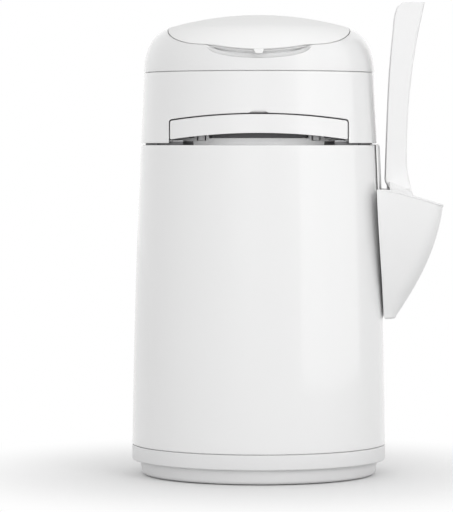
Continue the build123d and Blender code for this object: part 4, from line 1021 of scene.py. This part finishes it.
def last_held(low, high, holds):
    """Largest value between low and high at which a test still holds."""
    for _ in range(40):
        middle = (low + high) / 2
        if holds(middle):
            low = middle
        else:
            high = middle
    return low


def column_turns():
    """Angle of each mesh column around the pail, from the front."""
    around = bpy.context.scene.pail_mesh.around
    return [2 * PI * i / around for i in range(around)]


class PAIL_OT_bucket(Operator):
    """Bucket: bowed oval wall, soft rim, rounded floor and hinge ears"""

    bl_idname = "pail.bucket"
    bl_label = "Build Bucket"

    def execute(self, context):
        body, grid = context.scene.pail_body, context.scene.pail_mesh
        low, floor, rim, wall = body.bucket_bottom, body.bucket_floor, body.rim, body.wall
        skirt, half = body.skirt_half_width, body.rim_half_width
        inside = floor + 3.0 * MM
        rows = 44
        levels = [low + (rim - low) * k / rows for k in range(1, rows)]
        side = [(bucket_half(z), z) for z in levels]
        back = [(r - wall, z) for r, z in reversed(side) if z > inside + 14 * MM]
        points = [(0.0, floor), (skirt - wall, floor), (skirt - wall, low), (skirt, low)] + side
        points += [(half, rim), (half - wall, rim)] + back
        points += [(bucket_half(inside) - wall, inside), (0.0, inside)]
        radii = [0.3 * MM, 0.3 * MM, body.edge] + [0.0] * len(side)
        radii += [1.1 * MM, 0.8 * MM] + [0.0] * len(back) + [12.0 * MM]
        path = rounded_path(points, radii, grid.arc_steps + 2)
        form = lathe(densify(path, 14 * MM), grid.around, body.plan_ratio)
        bucket = new_piece("bucket_body", form, "bucket", "white_plastic")
        boss_low, boss_top = 18.0 * MM, floor + 0.4 * MM
        bosses = [tube(p, BOSS_RADIUS, SCREW_BORE, boss_low, boss_top) for p in BASE_SCREWS]
        merge(bucket, outer_knuckles(*head_hinge(), rim - 14 * MM, rim - 0.4 * MM) + bosses)
        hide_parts("bucket_shell")
        return {"FINISHED"}


def front_columns(half, corner, beyond, count):
    """X places for a front band: even in the middle, close together round its corners."""
    inner = [half - corner + corner * math.sin(PI / 2 * k / 6) for k in range(7)]
    middle = [(half - corner) * k / count for k in range(count)]
    side = middle + inner
    outer = [half + (beyond - half) * k / 5 for k in range(1, 6)] if beyond else []
    right = side + outer
    return [-x for x in reversed(right[1:])] + right


def corner_drop(x, half, radius):
    """How far a rounded corner falls away at x."""
    past = abs(x) - (half - radius)
    if past <= 0:
        return 0.0
    past = min(past, radius)
    return radius - math.sqrt(max(radius * radius - past * past, 0.0))


def arch(x, half, rise):
    """Drop of a circular arch from its middle at x."""
    radius = (half * half + rise * rise) / (2 * rise)
    return radius - math.sqrt(radius * radius - min(abs(x), half) ** 2)


class PAIL_OT_head(Operator):
    """Head shell: tapered oval wall with the arched handle opening and its notch"""

    bl_idname = "pail.head"
    bl_label = "Build Head"

    def opening_height(self, head, x):
        """Height of the opening's upper edge at a distance x from the middle."""
        crown = head.opening_top - arch(x, head.opening_half, head.opening_arch)
        top = crown - corner_drop(x, head.opening_half, head.opening_corner)
        past = abs(x)
        if past < head.notch_base:
            t = min(1.0, (head.notch_base - past) / (head.notch_base - head.notch_top))
            ease = t * t * (3 - 2 * t)
            notch = head.opening_top + head.notch_rise
            top = max(top, notch * ease + crown * (1 - ease))
        return top

    def execute(self, context):
        body, head = context.scene.pail_body, context.scene.pail_head
        ratio = body.plan_ratio
        half = head.opening_half
        beyond = 97 * MM  # half-width of the band whose columns keep their x
        front = front_columns(half, head.opening_corner, beyond, 30)
        extra = [head.notch_base * t for t in (0.55, 0.65, 0.75, 0.85, 0.93, 1.0, 1.08)]
        front = sorted(set(front + extra + [-x for x in extra]))
        rear = 170
        columns = [(x, None) for x in front] + [(None, k / rear) for k in range(1, rear)]
        corner_z = self.opening_height(head, half)

        def place(column, z, inset):
            """Point on a column: at an x in front, or a share of the way round behind."""
            r = head_half(z) - inset
            x, share = column
            if share is None:
                return (x, -ratio * math.sqrt(max(r * r - x * x, 0.0)), z)
            begin = math.asin(min(beyond / r, 1.0))
            turn = begin + (2 * PI - 2 * begin) * share
            return (r * math.sin(turn), -ratio * r * math.cos(turn), z)

        def add(column, z):
            """Adds a point to both skins of the wall."""
            outer.append(place(column, z, 0.0))
            inner.append(place(column, z, head.wall))

        upper_rows, lower_rows = 15, 6
        outer, inner = [], []
        count = len(columns)
        for j in range(upper_rows):
            for column in columns:
                x, share = column
                over = share is None and abs(x) < half - 1e-9
                low = self.opening_height(head, x) if over else corner_z
                add(column, low + (head.top - low) * j / (upper_rows - 1))
        faces = grid_faces(count, upper_rows, wrap=True)
        left, right = (
            min(range(len(front)), key=lambda i: abs(front[i] - x)) for x in (-half, half)
        )
        sides = list(range(right, count)) + list(range(left + 1))
        previous = sides
        for j in range(1, lower_rows):
            row = list(range(len(outer), len(outer) + len(sides)))
            for i in sides:
                add(columns[i], corner_z + (head.low - corner_z) * j / (lower_rows - 1))
            for a in range(len(sides) - 1):
                faces.append([previous[a + 1], previous[a], row[a], row[a + 1]])
            previous = row
        shell = new_piece("head_wall", double_skin(outer, inner, faces), "head", "white_plastic")
        bevel(shell, body.edge, 4, 50.0)
        knuckles = [middle_knuckle(*head_hinge(), head.low + 0.1 * MM, head.low + 12 * MM)]
        knuckles += outer_knuckles(*cover_hinge(), head.top - 12 * MM, head.top - 0.2 * MM)
        boss_low, boss_top = 317.3 * MM, 332.2 * MM
        bosses = [tube(p, BOSS_RADIUS, SCREW_BORE, boss_low, boss_top) for p in HEAD_SCREWS]
        merge(shell, knuckles + bosses)
        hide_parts("head_shell")
        return {"FINISHED"}


class PAIL_OT_handle(Operator):
    """Pull handle: arched bar that closes the opening flush, on two arms"""

    bl_idname = "pail.handle"
    bl_label = "Build Pull Handle"

    def execute(self, context):
        body, head = context.scene.pail_body, context.scene.pail_head
        half = head.opening_half - head.handle_gap
        top = head.opening_top - head.handle_gap
        low = top - head.handle_height
        corner = 1.6 * MM
        columns = front_columns(half, corner, None, 34)
        rows = 9
        outer, inner = [], []
        for j in range(rows):
            for x in columns:
                drop = arch(x, half, head.opening_arch)
                fall = corner_drop(x, half, corner)
                z0, z1 = low - drop + fall, top - drop - fall
                z = z0 + (z1 - z0) * j / (rows - 1)
                for skin, inset in ((outer, 0.0), (inner, head.handle_depth)):
                    r = head_half(z) - inset
                    skin.append((x, -body.plan_ratio * math.sqrt(r * r - x * x), z))
        form = double_skin(outer, inner, grid_faces(len(columns), rows))
        bar = new_piece("pull_handle_bar", form, "slide", "handle_plastic")
        bevel(bar, 0.9 * MM, 4, 40.0)
        arms = []
        arm_half, arm_front, arm_back = 3.25 * MM, -61 * MM, -18 * MM
        arm_low, arm_top = 330.6 * MM, 335.0 * MM
        for x in (-head.arm_middle, head.arm_middle):
            near, far = (x - arm_half, arm_front, arm_low), (x + arm_half, arm_back, arm_top)
            arms.append(soft_block(near, far, 0.6 * MM))
        merge(bar, arms)
        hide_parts("pull_handle")
        return {"FINISHED"}


class PAIL_OT_dome(Operator):
    """Dome cover: ledge under the lid, seam, cove-shaped finger recess and brow"""

    bl_idname = "pail.dome"
    bl_label = "Build Dome Cover"

    def recess(self, dome, curve, turn, s_top):
        """Distance from the crown of the recess's lower edge, and its depth, on a column."""
        r, _ = curve.point(s_top)
        x = r * math.sin(turn)
        if math.cos(turn) < 0 or abs(x) >= dome.recess_half:
            return s_top, 0.0
        share = math.sqrt(1 - (x / dome.recess_half) ** 2)
        low = curve.at_height(dome.recess_level - dome.recess_drop * share, s_top)
        reach = max(low - s_top, 0.0)
        depth = dome.recess_depth * min(1.0, share * 1.15) * min(1.0, reach / (5 * MM))
        return s_top + reach, depth

    def rows(self, dome, curve, turns):
        """Rows of (distance from the crown, depth) from the ledge down to the lower edge."""
        seam = LidSeam(curve)
        tops = [seam.reach(turn, dome.lid_gap) for turn in turns]
        recess = [self.recess(dome, curve, turn, s) for turn, s in zip(turns, tops)]
        depths = [depth for _, depth in recess]
        ledge, drop = dome.ledge, dome.ledge_drop
        rows = [[(s - ledge * t, drop) for s in tops] for t in (1.0, 0.7, 0.4, 0.15, 0.0)]
        for t in (0.34, 0.67):
            rows.append([(s, drop * (1 - t) + depth * t) for s, depth in zip(tops, depths)])
        slot_width, slot_depth = 1.5 * MM, 1.6
        rows.append([(s, depth * slot_depth) for s, depth in zip(tops, depths)])
        tops = [s + slot_width * min(1.0, depth / (4 * MM)) for s, depth in zip(tops, depths)]
        lows = [max(low, s) for (low, _), s in zip(recess, tops)]
        rows.append([(s, depth * slot_depth) for s, depth in zip(tops, depths)])
        cove_rows, skirt_rows, cove_power = 16, 26, 0.45
        for k in range(cove_rows + 1):
            t = math.sin(PI / 2 * k / cove_rows)
            share = max(1 - t * t, 0.0) ** cove_power
            rows.append([(s + (e - s) * t, d * share) for s, e, d in zip(tops, lows, depths)])
        for k in range(1, skirt_rows + 1):
            t = (k / skirt_rows) ** 1.25
            rows.append([(low + (curve.total - low) * t, 0.0) for low in lows])
        return rows

    def execute(self, context):
        body, dome = context.scene.pail_body, context.scene.pail_dome
        head, grid = context.scene.pail_head, context.scene.pail_mesh
        ratio = body.plan_ratio
        curve = DomeCurve()
        turns = column_turns()
        rows = self.rows(dome, curve, turns)
        outer, inner = [], []
        for row in rows:
            for turn, (s, inset) in zip(turns, row):
                for skin, extra in ((outer, 0.0), (inner, head.wall)):
                    r, z = curve.point(s, inset + extra)
                    skin.append((r * math.sin(turn), -ratio * r * math.cos(turn), max(z, dome.low)))
        form = double_skin(outer, inner, grid_faces(len(turns), len(rows), wrap=True))
        cover = new_piece("dome_cover_shell", form, "cover", "dome_plastic")
        trough_half = KNUCKLE_HALF + 0.5 * MM
        cut_away(cover, [prism(ring_points(3.3 * MM, LID_HINGE), 0, -trough_half, trough_half)])
        bevel(cover, 0.45 * MM, 3, 42.0)
        hinge_y, hinge_z = LID_HINGE
        ears = outer_knuckles(
            *LID_HINGE, LID_KNUCKLE, hinge_y - 2.0 * MM, hinge_z - 4.0 * MM, hinge_z
        )
        leaf = middle_knuckle(*cover_hinge(), dome.low + 0.1 * MM, dome.low + 10 * MM)
        near = head.top_half_width - head.wall - 1.2 * MM
        out, back = near + 1.8 * MM, near - 2.0 * MM
        low, shelf, top = head.top - 3 * MM, dome.low + 1.2 * MM, dome.low + 3 * MM
        loop = [
            (near, low), (near, shelf), (out, dome.low + 0.2 * MM),
            (out, top), (back, top), (back, low),
        ]
        merge(cover, ears + [leaf, loose(*lathe(loop, grid.around, ratio, closed=True))])
        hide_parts("dome_cover")
        return {"FINISHED"}


class PAIL_OT_lid(Operator):
    """Lid: the dome's crown with its tongue, pull tab and hinge knuckle"""

    bl_idname = "pail.lid"
    bl_label = "Build Lid"

    def execute(self, context):
        body, dome, head = context.scene.pail_body, context.scene.pail_dome, context.scene.pail_head
        ratio = body.plan_ratio
        curve = DomeCurve()
        seam = LidSeam(curve)
        turns = column_turns()
        reaches = [seam.reach(turn) for turn in turns]
        rings = 46
        outer = [(0.0, 0.0, curve.top)]
        inner = [(0.0, 0.0, curve.top - head.wall)]
        count = len(turns)
        for j in range(1, rings + 1):
            t = (j / rings) ** 0.8
            for turn, reach in zip(turns, reaches):
                for skin, inset in ((outer, 0.0), (inner, head.wall)):
                    r, z = curve.point(reach * t, inset)
                    skin.append((r * math.sin(turn), -ratio * r * math.cos(turn), z))
        faces = [[0, 1 + i, 1 + (i + 1) % count] for i in range(count)]
        faces += grid_faces(count, rings, wrap=True, first=1)
        lid = new_piece("lid_shell", double_skin(outer, inner, faces), "lid", "lid_plastic")
        bevel(lid, 0.5 * MM, 4, 42.0)
        web = (dome.lid_back - 4 * MM, LID_HINGE[1] - 1.4 * MM, LID_HINGE[1] + 1.0 * MM)
        merge(lid, [middle_knuckle(*LID_HINGE, LID_KNUCKLE, *web), self.tab(curve, seam, ratio)])
        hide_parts("lid_flap")
        return {"FINISHED"}

    def tab(self, curve, seam, ratio):
        """Small pull tab that tapers down from the middle of the front edge."""
        half, tip_half = 4.6 * MM, 3.1 * MM
        _, top = curve.point(seam.reach(0.0) - 2.0 * MM, 0.5 * MM)
        bend, tip = top - 2.6 * MM, seam.height(0.0) - 4.2 * MM
        right = [(half, top), (half, bend), (tip_half, tip)]
        outline = [(-half, top)] + right + [(-tip_half, tip), (-half, bend)]
        verts = []
        for inset in (0.5 * MM, 2.9 * MM):
            for x, z in outline:
                r, _ = curve.point(curve.at_height(z, 0.0, inset), inset)
                verts.append((x, -ratio * r, z))
        tab = loose(verts, capped_faces(len(outline), 2))
        bevel(tab, 0.35 * MM, 3, 30.0)
        return tab


class PAIL_OT_holder(Operator):
    """Scoop holder: strap that hooks over the rim and a tapered pocket with a rolled lip"""

    bl_idname = "pail.holder"
    bl_label = "Build Scoop Holder"

    def section(self, side, z, grow):
        """Plan of the pocket at a height, as a closed ring of points from the back corner."""
        low = side.pocket_top - side.pocket_height
        up = max(0.0, min(1.0, (z - low) / side.pocket_height))
        ease = 1 - (1 - up) ** side.pocket_swell
        half = side.pocket_foot_half + (side.pocket_half - side.pocket_foot_half) * ease
        foot = holder_back(low) + side.pocket_foot_depth
        reach = foot + (holder_back(side.pocket_top) + side.pocket_depth - foot) * ease
        back = holder_back(z)
        edge = back - side.pocket_wrap * (half / side.pocket_half) ** 2
        corner = min(side.pocket_corner, half * 0.6, (reach - edge) * 0.6)
        half, reach, back, edge = half + grow, reach + grow, back - grow, edge - grow
        back_steps, front_steps, n = 12, 14, 10  # n steps on each side and corner
        points = []
        for k in range(back_steps + 1):
            y = half * (1 - 2 * k / back_steps)
            points.append((edge + (back - edge) * (1 - (y / half) ** 2), y))
        inner, flat = reach - corner, half - corner
        arc = [corner * math.sin(PI / 2 * k / n) for k in range(n + 1)]
        points += [(edge + (inner - edge) * k / n, -half) for k in range(1, n + 1)]
        points += [(inner + arc[k], -flat - arc[n - k]) for k in range(1, n + 1)]
        points += [(reach, flat * (2 * k / front_steps - 1)) for k in range(1, front_steps)]
        points += [(inner + arc[n - k], flat + arc[k]) for k in range(n + 1)]
        points += [(inner + (edge - inner) * k / n, half) for k in range(1, n)]
        return points

    def mouth(self, side, x):
        """Height of the pocket's sloping mouth at x."""
        back = holder_back(side.pocket_top)
        bend_share, bend_drop, past = 0.26, 1.5 * MM, 5 * MM
        bend = back + side.pocket_depth * bend_share
        outer = back + side.pocket_depth + past
        if x < back:
            return side.pocket_top
        if x < bend:
            return side.pocket_top - bend_drop * ((x - back) / (bend - back)) ** 2
        slope = (x - bend) / (outer - bend)
        return side.pocket_top - bend_drop - (side.lip_drop - bend_drop) * slope

    def skin(self, side, heights, low, grow, radius):
        """Points of one face of the wall: a middle point, a rounded foot and rising rings."""
        foot_level = side.pocket_top - side.pocket_height
        middle = [sum(axis) / len(heights) for axis in zip(*self.section(side, foot_level, 0.0))]
        points = [(*middle, low)]
        for k in range(FOOT_RINGS):
            turn = PI / 2 * (1 - k / FOOT_RINGS)
            inset, z = radius * (1 - math.cos(turn)), low + radius * (1 - math.sin(turn))
            points += [(x, y, z) for x, y in self.section(side, low + radius, grow - inset)]
        for k in range(WALL_RINGS + 1):
            for i, height in enumerate(heights):
                z = low + radius + (height - low - radius) * k / WALL_RINGS
                points.append((*self.section(side, z, grow)[i], z))
        return points

    def execute(self, context):
        side, body = context.scene.pail_side, context.scene.pail_body
        low = side.pocket_top - side.pocket_height
        heights = [self.mouth(side, x) for x, _ in self.section(side, side.pocket_top, 0.0)]
        count = len(heights)
        lift, floor = 3.2 * MM, 2.5 * MM
        outer = self.skin(side, heights, low, -0.6 * MM, lift)
        inner = self.skin(side, heights, low + floor, -side.wall, lift * 0.6)
        faces = [[0, 1 + i, 1 + (i + 1) % count] for i in range(count)]
        faces += grid_faces(count, FOOT_RINGS + WALL_RINGS + 1, wrap=True, first=1)
        form = double_skin(outer, inner, faces)
        pocket = new_piece("scoop_holder_body", form, "bucket", "scoop_plastic", "holder_plastic")
        bevel(pocket, 0.5 * MM, 3, 50.0)
        merge(pocket, [self.lip(side, heights), self.strap(side, body)])
        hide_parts("scoop_holder")
        return {"FINISHED"}

    def lip(self, side, heights):
        """Rolled bead along the pocket's mouth; against the pail it stays inside the wall."""
        profile = [  # out from the wall and up from the mouth, in mm
            (-0.6, -2.0), (0.0, -1.75), (0.15, -1.2), (0.0, -0.45),
            (-0.5, -0.02), (-1.7, -0.02), (-1.7, -2.0),
        ]
        verts = []
        for out, up in profile:
            for i, height in enumerate(heights):
                z = height + up * MM
                x, y = self.section(side, z, out * MM)[i]
                if x < bucket_half(z) + 3 * MM:
                    x, y = self.section(side, z, min(out, -0.6) * MM)[i]
                verts.append((x, y, z))
        return loose(verts, ring_faces(len(heights), len(profile)))

    def strap(self, side, body):
        """Strap against the bucket's wall, bent over the rim into a short hook."""
        rim = body.rim
        low = side.pocket_top - 12 * MM
        gap = 1.2 * MM
        out, top = gap + side.strap_wall - 0.9 * MM, rim + 1.1 * MM
        hook_in, hook_out = -body.wall - 1.5 * MM, -body.wall - 0.15 * MM
        hook_low, under = rim - 9 * MM, rim + 0.1 * MM
        path = [
            (gap, low), (out, low), (out, top), (hook_in, top), (hook_in, hook_low),
            (hook_out, hook_low), (hook_out, under), (gap, under), (gap, low + 4 * MM),
        ]
        radii = [r * MM for r in (0.5, 3.0, 1.0, 0.4, 0.4, 0.4, 0.3)]
        outline = densify(rounded_path(path, radii, 5)[:-1], 9 * MM)
        columns = 17
        verts = []
        for k in range(columns):
            y = side.strap_half * (2 * k / (columns - 1) - 1)
            for away, z in outline:
                r = bucket_half(min(z, rim)) + away
                verts.append((math.sqrt(r * r - (y / body.plan_ratio) ** 2), y, z))
        return loose(verts, capped_faces(len(outline), columns))


class PAIL_OT_scoop(Operator):
    """Scoop: channelled grip and slotted blade in one moulding, open towards the pail"""

    bl_idname = "pail.scoop"
    bl_label = "Build Scoop"

    def along(self, points, up):
        """Smooth value through (value, height) points, lowest first, at a height."""
        values, heights = zip(*points)
        if up <= heights[0]:
            return values[0]
        last = len(points) - 1
        for i in range(last):
            if up > heights[i + 1]:
                continue
            h = heights[i + 1] - heights[i]
            t = (up - heights[i]) / h
            slopes = []
            for k in (i, i + 1):
                a, b = max(k - 1, 0), min(k + 1, last)
                slopes.append((values[b] - values[a]) / (heights[b] - heights[a]))
            t2, t3 = t * t, t ** 3
            start = values[i] * (2 * t3 - 3 * t2 + 1) + slopes[0] * h * (t3 - 2 * t2 + t)
            return start + values[i + 1] * (3 * t2 - 2 * t3) + slopes[1] * h * (t3 - t2)
        return values[-1]

    def trough(self, z, half, x0, x1, wall):
        """Level ring of the channel: its open edge at x0 and its rounded back at x1."""
        corner, side_steps, arc_steps, back_steps = 3.2 * MM, 8, 6, 12
        half, x1 = half - wall, x1 - wall
        r = max(0.4 * MM, min(corner - wall * 0.6, half * 0.5, (x1 - x0) * 0.5))
        points = [(x0 + (x1 - r - x0) * k / side_steps, -half, z) for k in range(side_steps + 1)]
        for k in range(1, arc_steps + 1):
            turn = PI / 2 * k / arc_steps
            points.append((x1 - r + r * math.sin(turn), -half + r * (1 - math.cos(turn)), z))
        mirrored = [(x, -y, z) for x, y, z in reversed(points)]
        points += [(x1, (r - half) * (1 - 2 * k / back_steps), z) for k in range(1, back_steps)]
        return points + mirrored

    def levels(self, side, front, foot, mouth, shoulder):
        """(height, half-width, open edge, back) of the blade, the shoulder and the grip."""
        back_line = [  # mm behind the foot, mm over the mouth
            (24.6, 0.0), (20.8, 18.0), (20.3, 46.0), (22.8, 90.0), (28.8, 136.0), (36.9, 175.7),
        ]
        front_line = [(0.0, 0.0), (2.2, 68.0), (4.4, 113.0), (8.0, 153.0)]
        step, step_top, bend = 4.2 * MM, 7.0, 153.0
        tip_depth, blade_depth, narrowing = 5.3 * MM, 25.3 * MM, 2.9 * MM
        blade_rows, shoulder_rows, grip_rows = 24, 12, 60
        tip = mouth - side.blade_length
        levels = []
        for k in range(blade_rows + 1):
            t = k / blade_rows
            width = side.blade_tip_half + (side.blade_half - side.blade_tip_half) * t ** 0.7
            back = front + tip_depth + (blade_depth - tip_depth) * t
            levels.append((tip + (shoulder - tip) * t, width, front, back))
        for k in range(1, shoulder_rows + 1):
            t = k / shoulder_rows
            ease = t * t * (3 - 2 * t)
            width = side.blade_half + (side.grip_half - side.blade_half) * t
            edge = front + (foot + step - front) * ease
            back = front + blade_depth - narrowing * ease
            levels.append((shoulder + (mouth - shoulder) * t, width, edge, back))
        grip = side.grip_length / MM
        end_rise = 7.8 * MM
        for k in range(1, grip_rows + 1):
            up = grip * k / grip_rows
            edge = foot + self.along(front_line, min(up, bend)) * MM
            if up < step_top:
                edge += step * (1 - up / step_top)
            if up > bend:
                t = (up - bend) / (grip - bend)
                edge += end_rise * (1 - math.sqrt(max(0.0, 1 - t ** 1.7)))
            back = foot + self.along(back_line, up) * MM
            levels.append((mouth + up * MM, side.grip_half, edge, back))
        return levels

    def slots(self, front, top):
        """Cutters for the blade's slots, the middle one longest."""
        cutters = []
        width = 2.5 * MM
        for i in range(7):
            y = (i - 3) * 10 * MM
            low = top - (60.0 - 1.15 * (y / (5 * MM)) ** 2) * MM
            turns = [PI * k / 8 for k in range(9)]
            outline = [
                (y + width * math.cos(a), top - width + width * math.sin(a)) for a in turns
            ] + [(y - width * math.cos(a), low + width - width * math.sin(a)) for a in turns]
            cutters.append(prism(outline, 0, front + 1 * MM, front + 31 * MM))
        return cutters

    def shoulder_block(self, near, crest, low):
        """Sloping roof between the blade and the grip, with a cheek under each side."""
        far, far_crest, thick = near + 21.0 * MM, crest - 9.5 * MM, 2.2 * MM
        under = 0.3 * MM
        slope = [(near, crest - under), (far, far_crest - under), (far, low), (near, low)]
        roof = [(near, crest), (far, far_crest), (far, far_crest - thick), (near, crest - thick)]
        cheeks = [side_prism(slope, y, y + 2 * MM) for y in (-33 * MM, 31 * MM)]
        return cheeks + [side_prism(roof, -32 * MM, 32 * MM)]

    def execute(self, context):
        side = context.scene.pail_side
        wall = side.wall
        mouth = side.pocket_top + 0.5 * MM
        front = holder_back(side.pocket_top - side.pocket_height) + wall + 1.5 * MM
        foot, shoulder = front - 2.2 * MM, mouth - 14 * MM
        levels = self.levels(side, front, foot, mouth, shoulder)
        thin = 0.3 * MM
        start, end = levels[0], levels[-1]
        rows = [(*start[:3], start[2] + max((start[3] - start[2]) * k / 4, thin)) for k in range(4)]
        rows += levels
        for k in range(1, 6):
            rows.append((*end[:3], end[2] + max((end[3] - end[2]) * (1 - k / 5), thin)))
        outer, inner = [], []
        for z, half, x0, x1 in rows:
            outer += self.trough(z, half, x0, x1, 0.0)
            inner_z = min(max(z, start[0] + wall), end[0] - wall)
            inner += self.trough(inner_z, half, x0, max(x1, x0 + wall + thin), wall)
        form = double_skin(outer, inner, grid_faces(len(outer) // len(rows), len(rows)))
        scoop = new_piece("scoop_body", form, "scoop", "scoop_plastic")
        bevel(scoop, 0.7 * MM, 3, 48.0)
        merge(scoop, self.shoulder_block(foot + 3.2 * MM, mouth + 6.4 * MM, shoulder - 2 * MM))
        cut_away(scoop, self.slots(front, shoulder - 14 * MM))
        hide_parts("scoop")
        return {"FINISHED"}


class PAIL_OT_film(Operator):
    """Packed film: a ring of soft pleats in the refill cassette"""

    bl_idname = "pail.film"
    bl_label = "Build Packed Film"

    def execute(self, context):
        low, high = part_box("film_pack")
        around, pleats = 720, 90
        hole = (63.5 * MM, 48.5 * MM)
        top, bottom = high[2], low[2]
        pleat, crease = 0.9 * MM, 0.06 * MM
        spans = [  # share of the way in from the outside, and height
            (0.0, bottom), (0.0, bottom + 3 * MM), (0.0, top - 4 * MM), (0.06, top - 1.2 * MM),
            (0.22, top - 0.1 * MM), (0.5, top - 1.0 * MM), (0.78, top - 0.1 * MM),
            (0.94, top - 1.2 * MM), (1.0, top - 4 * MM), (1.0, bottom + 3 * MM), (1.0, bottom),
        ]
        verts = []
        for t, z in spans:
            for i in range(around):
                turn = 2 * PI * i / around
                fold = math.sin(turn * pleats + 2.5 * math.sin(turn * 7)) * 0.5 + 0.5
                rough = abs(math.sin(turn * 13 + z * 900))
                push = pleat * fold * (1 - 2 * t)
                a, b = (high[i] + (hole[i] - high[i]) * t - push for i in (0, 1))
                sink = pleat * fold + crease * rough if z > bottom + 5 * MM else 0.0
                verts.append((a * math.sin(turn), -b * math.cos(turn), z - sink))
        form = (verts, ring_faces(around, len(spans)))
        film = new_piece("packed_film_ring", form, "head", "film", smooth_angle=60.0)
        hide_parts("film_pack")
        return {"FINISHED"}


class PAIL_OT_works(Operator):
    """Finishes of the pieces that keep their frame shape: jaws, springs, screws and pins"""

    bl_idname = "pail.works"
    bl_label = "Dress Works"

    def execute(self, context):
        slots = {part["node"]: part["material_slot"] for part in frame["record"]["subparts"]}
        # painted shade: the release bar is coloured near black so that the window under the handle,
        # where it shows, looks shaded
        bar = ("release_bar_painted_shade_plastic", (0.14, 0.14, 0.145), (0.42, 0.55), 0.2, 0.05)
        own = {
            "release_bar": moulded(*bar),
            "frame_screws": steel("blackened_screw_steel", (0.07, 0.07, 0.075), (1.0, 1.0, 1.0)),
            # painted light: the jaw frame is lighter than the other inner mouldings to make up for
            # the handle's shade over its front wall
            "jaw_frame": frame_plastic_with_painted_shade("jaw_frame_painted_light_and_shade", (0.9, 0.9, 0.905)),
        }
        for name, node in frame["nodes"].items():
            material = own.get(name) or finish_named(slots[name])
            for slot in node.material_slots:
                slot.material = material
        return {"FINISHED"}


class PAIL_PT_sidebar(Panel):
    """A button for each operator"""

    bl_label = "Litter Pail"
    bl_idname = "PAIL_PT_sidebar"
    bl_space_type = "VIEW_3D"
    bl_region_type = "UI"
    bl_category = "Litter Pail"

    def draw(self, context):
        column = self.layout.column(align=True)
        for operator in OPERATORS:
            column.operator(operator.bl_idname)


OPERATORS = (
    PAIL_OT_stage,
    PAIL_OT_works,
    PAIL_OT_base,
    PAIL_OT_bucket,
    PAIL_OT_head,
    PAIL_OT_handle,
    PAIL_OT_dome,
    PAIL_OT_lid,
    PAIL_OT_holder,
    PAIL_OT_scoop,
    PAIL_OT_film,
)
SIZES = {
    "pail_body": PailBodySizes,
    "pail_head": PailHeadSizes,
    "pail_dome": PailDomeSizes,
    "pail_side": PailSideSizes,
    "pail_finish": PailFinishes,
    "pail_mesh": PailMesh,
}


def register():
    for group in SIZES.values():
        bpy.utils.register_class(group)
    for key, group in SIZES.items():
        setattr(bpy.types.Scene, key, PointerProperty(type=group))
    for operator in OPERATORS:
        bpy.utils.register_class(operator)
    bpy.utils.register_class(PAIL_PT_sidebar)


def unregister():
    bpy.utils.unregister_class(PAIL_PT_sidebar)
    for operator in reversed(OPERATORS):
        bpy.utils.unregister_class(operator)
    for key, group in SIZES.items():
        delattr(bpy.types.Scene, key)
        bpy.utils.unregister_class(group)


def main():
    register()
    bpy.ops.pail.stage()
    bpy.ops.pail.works()
    bpy.ops.pail.base()
    bpy.ops.pail.bucket()
    bpy.ops.pail.head()
    bpy.ops.pail.handle()
    bpy.ops.pail.dome()
    bpy.ops.pail.lid()
    bpy.ops.pail.holder()
    bpy.ops.pail.scoop()
    bpy.ops.pail.film()


if __name__ == "__main__":
    main()
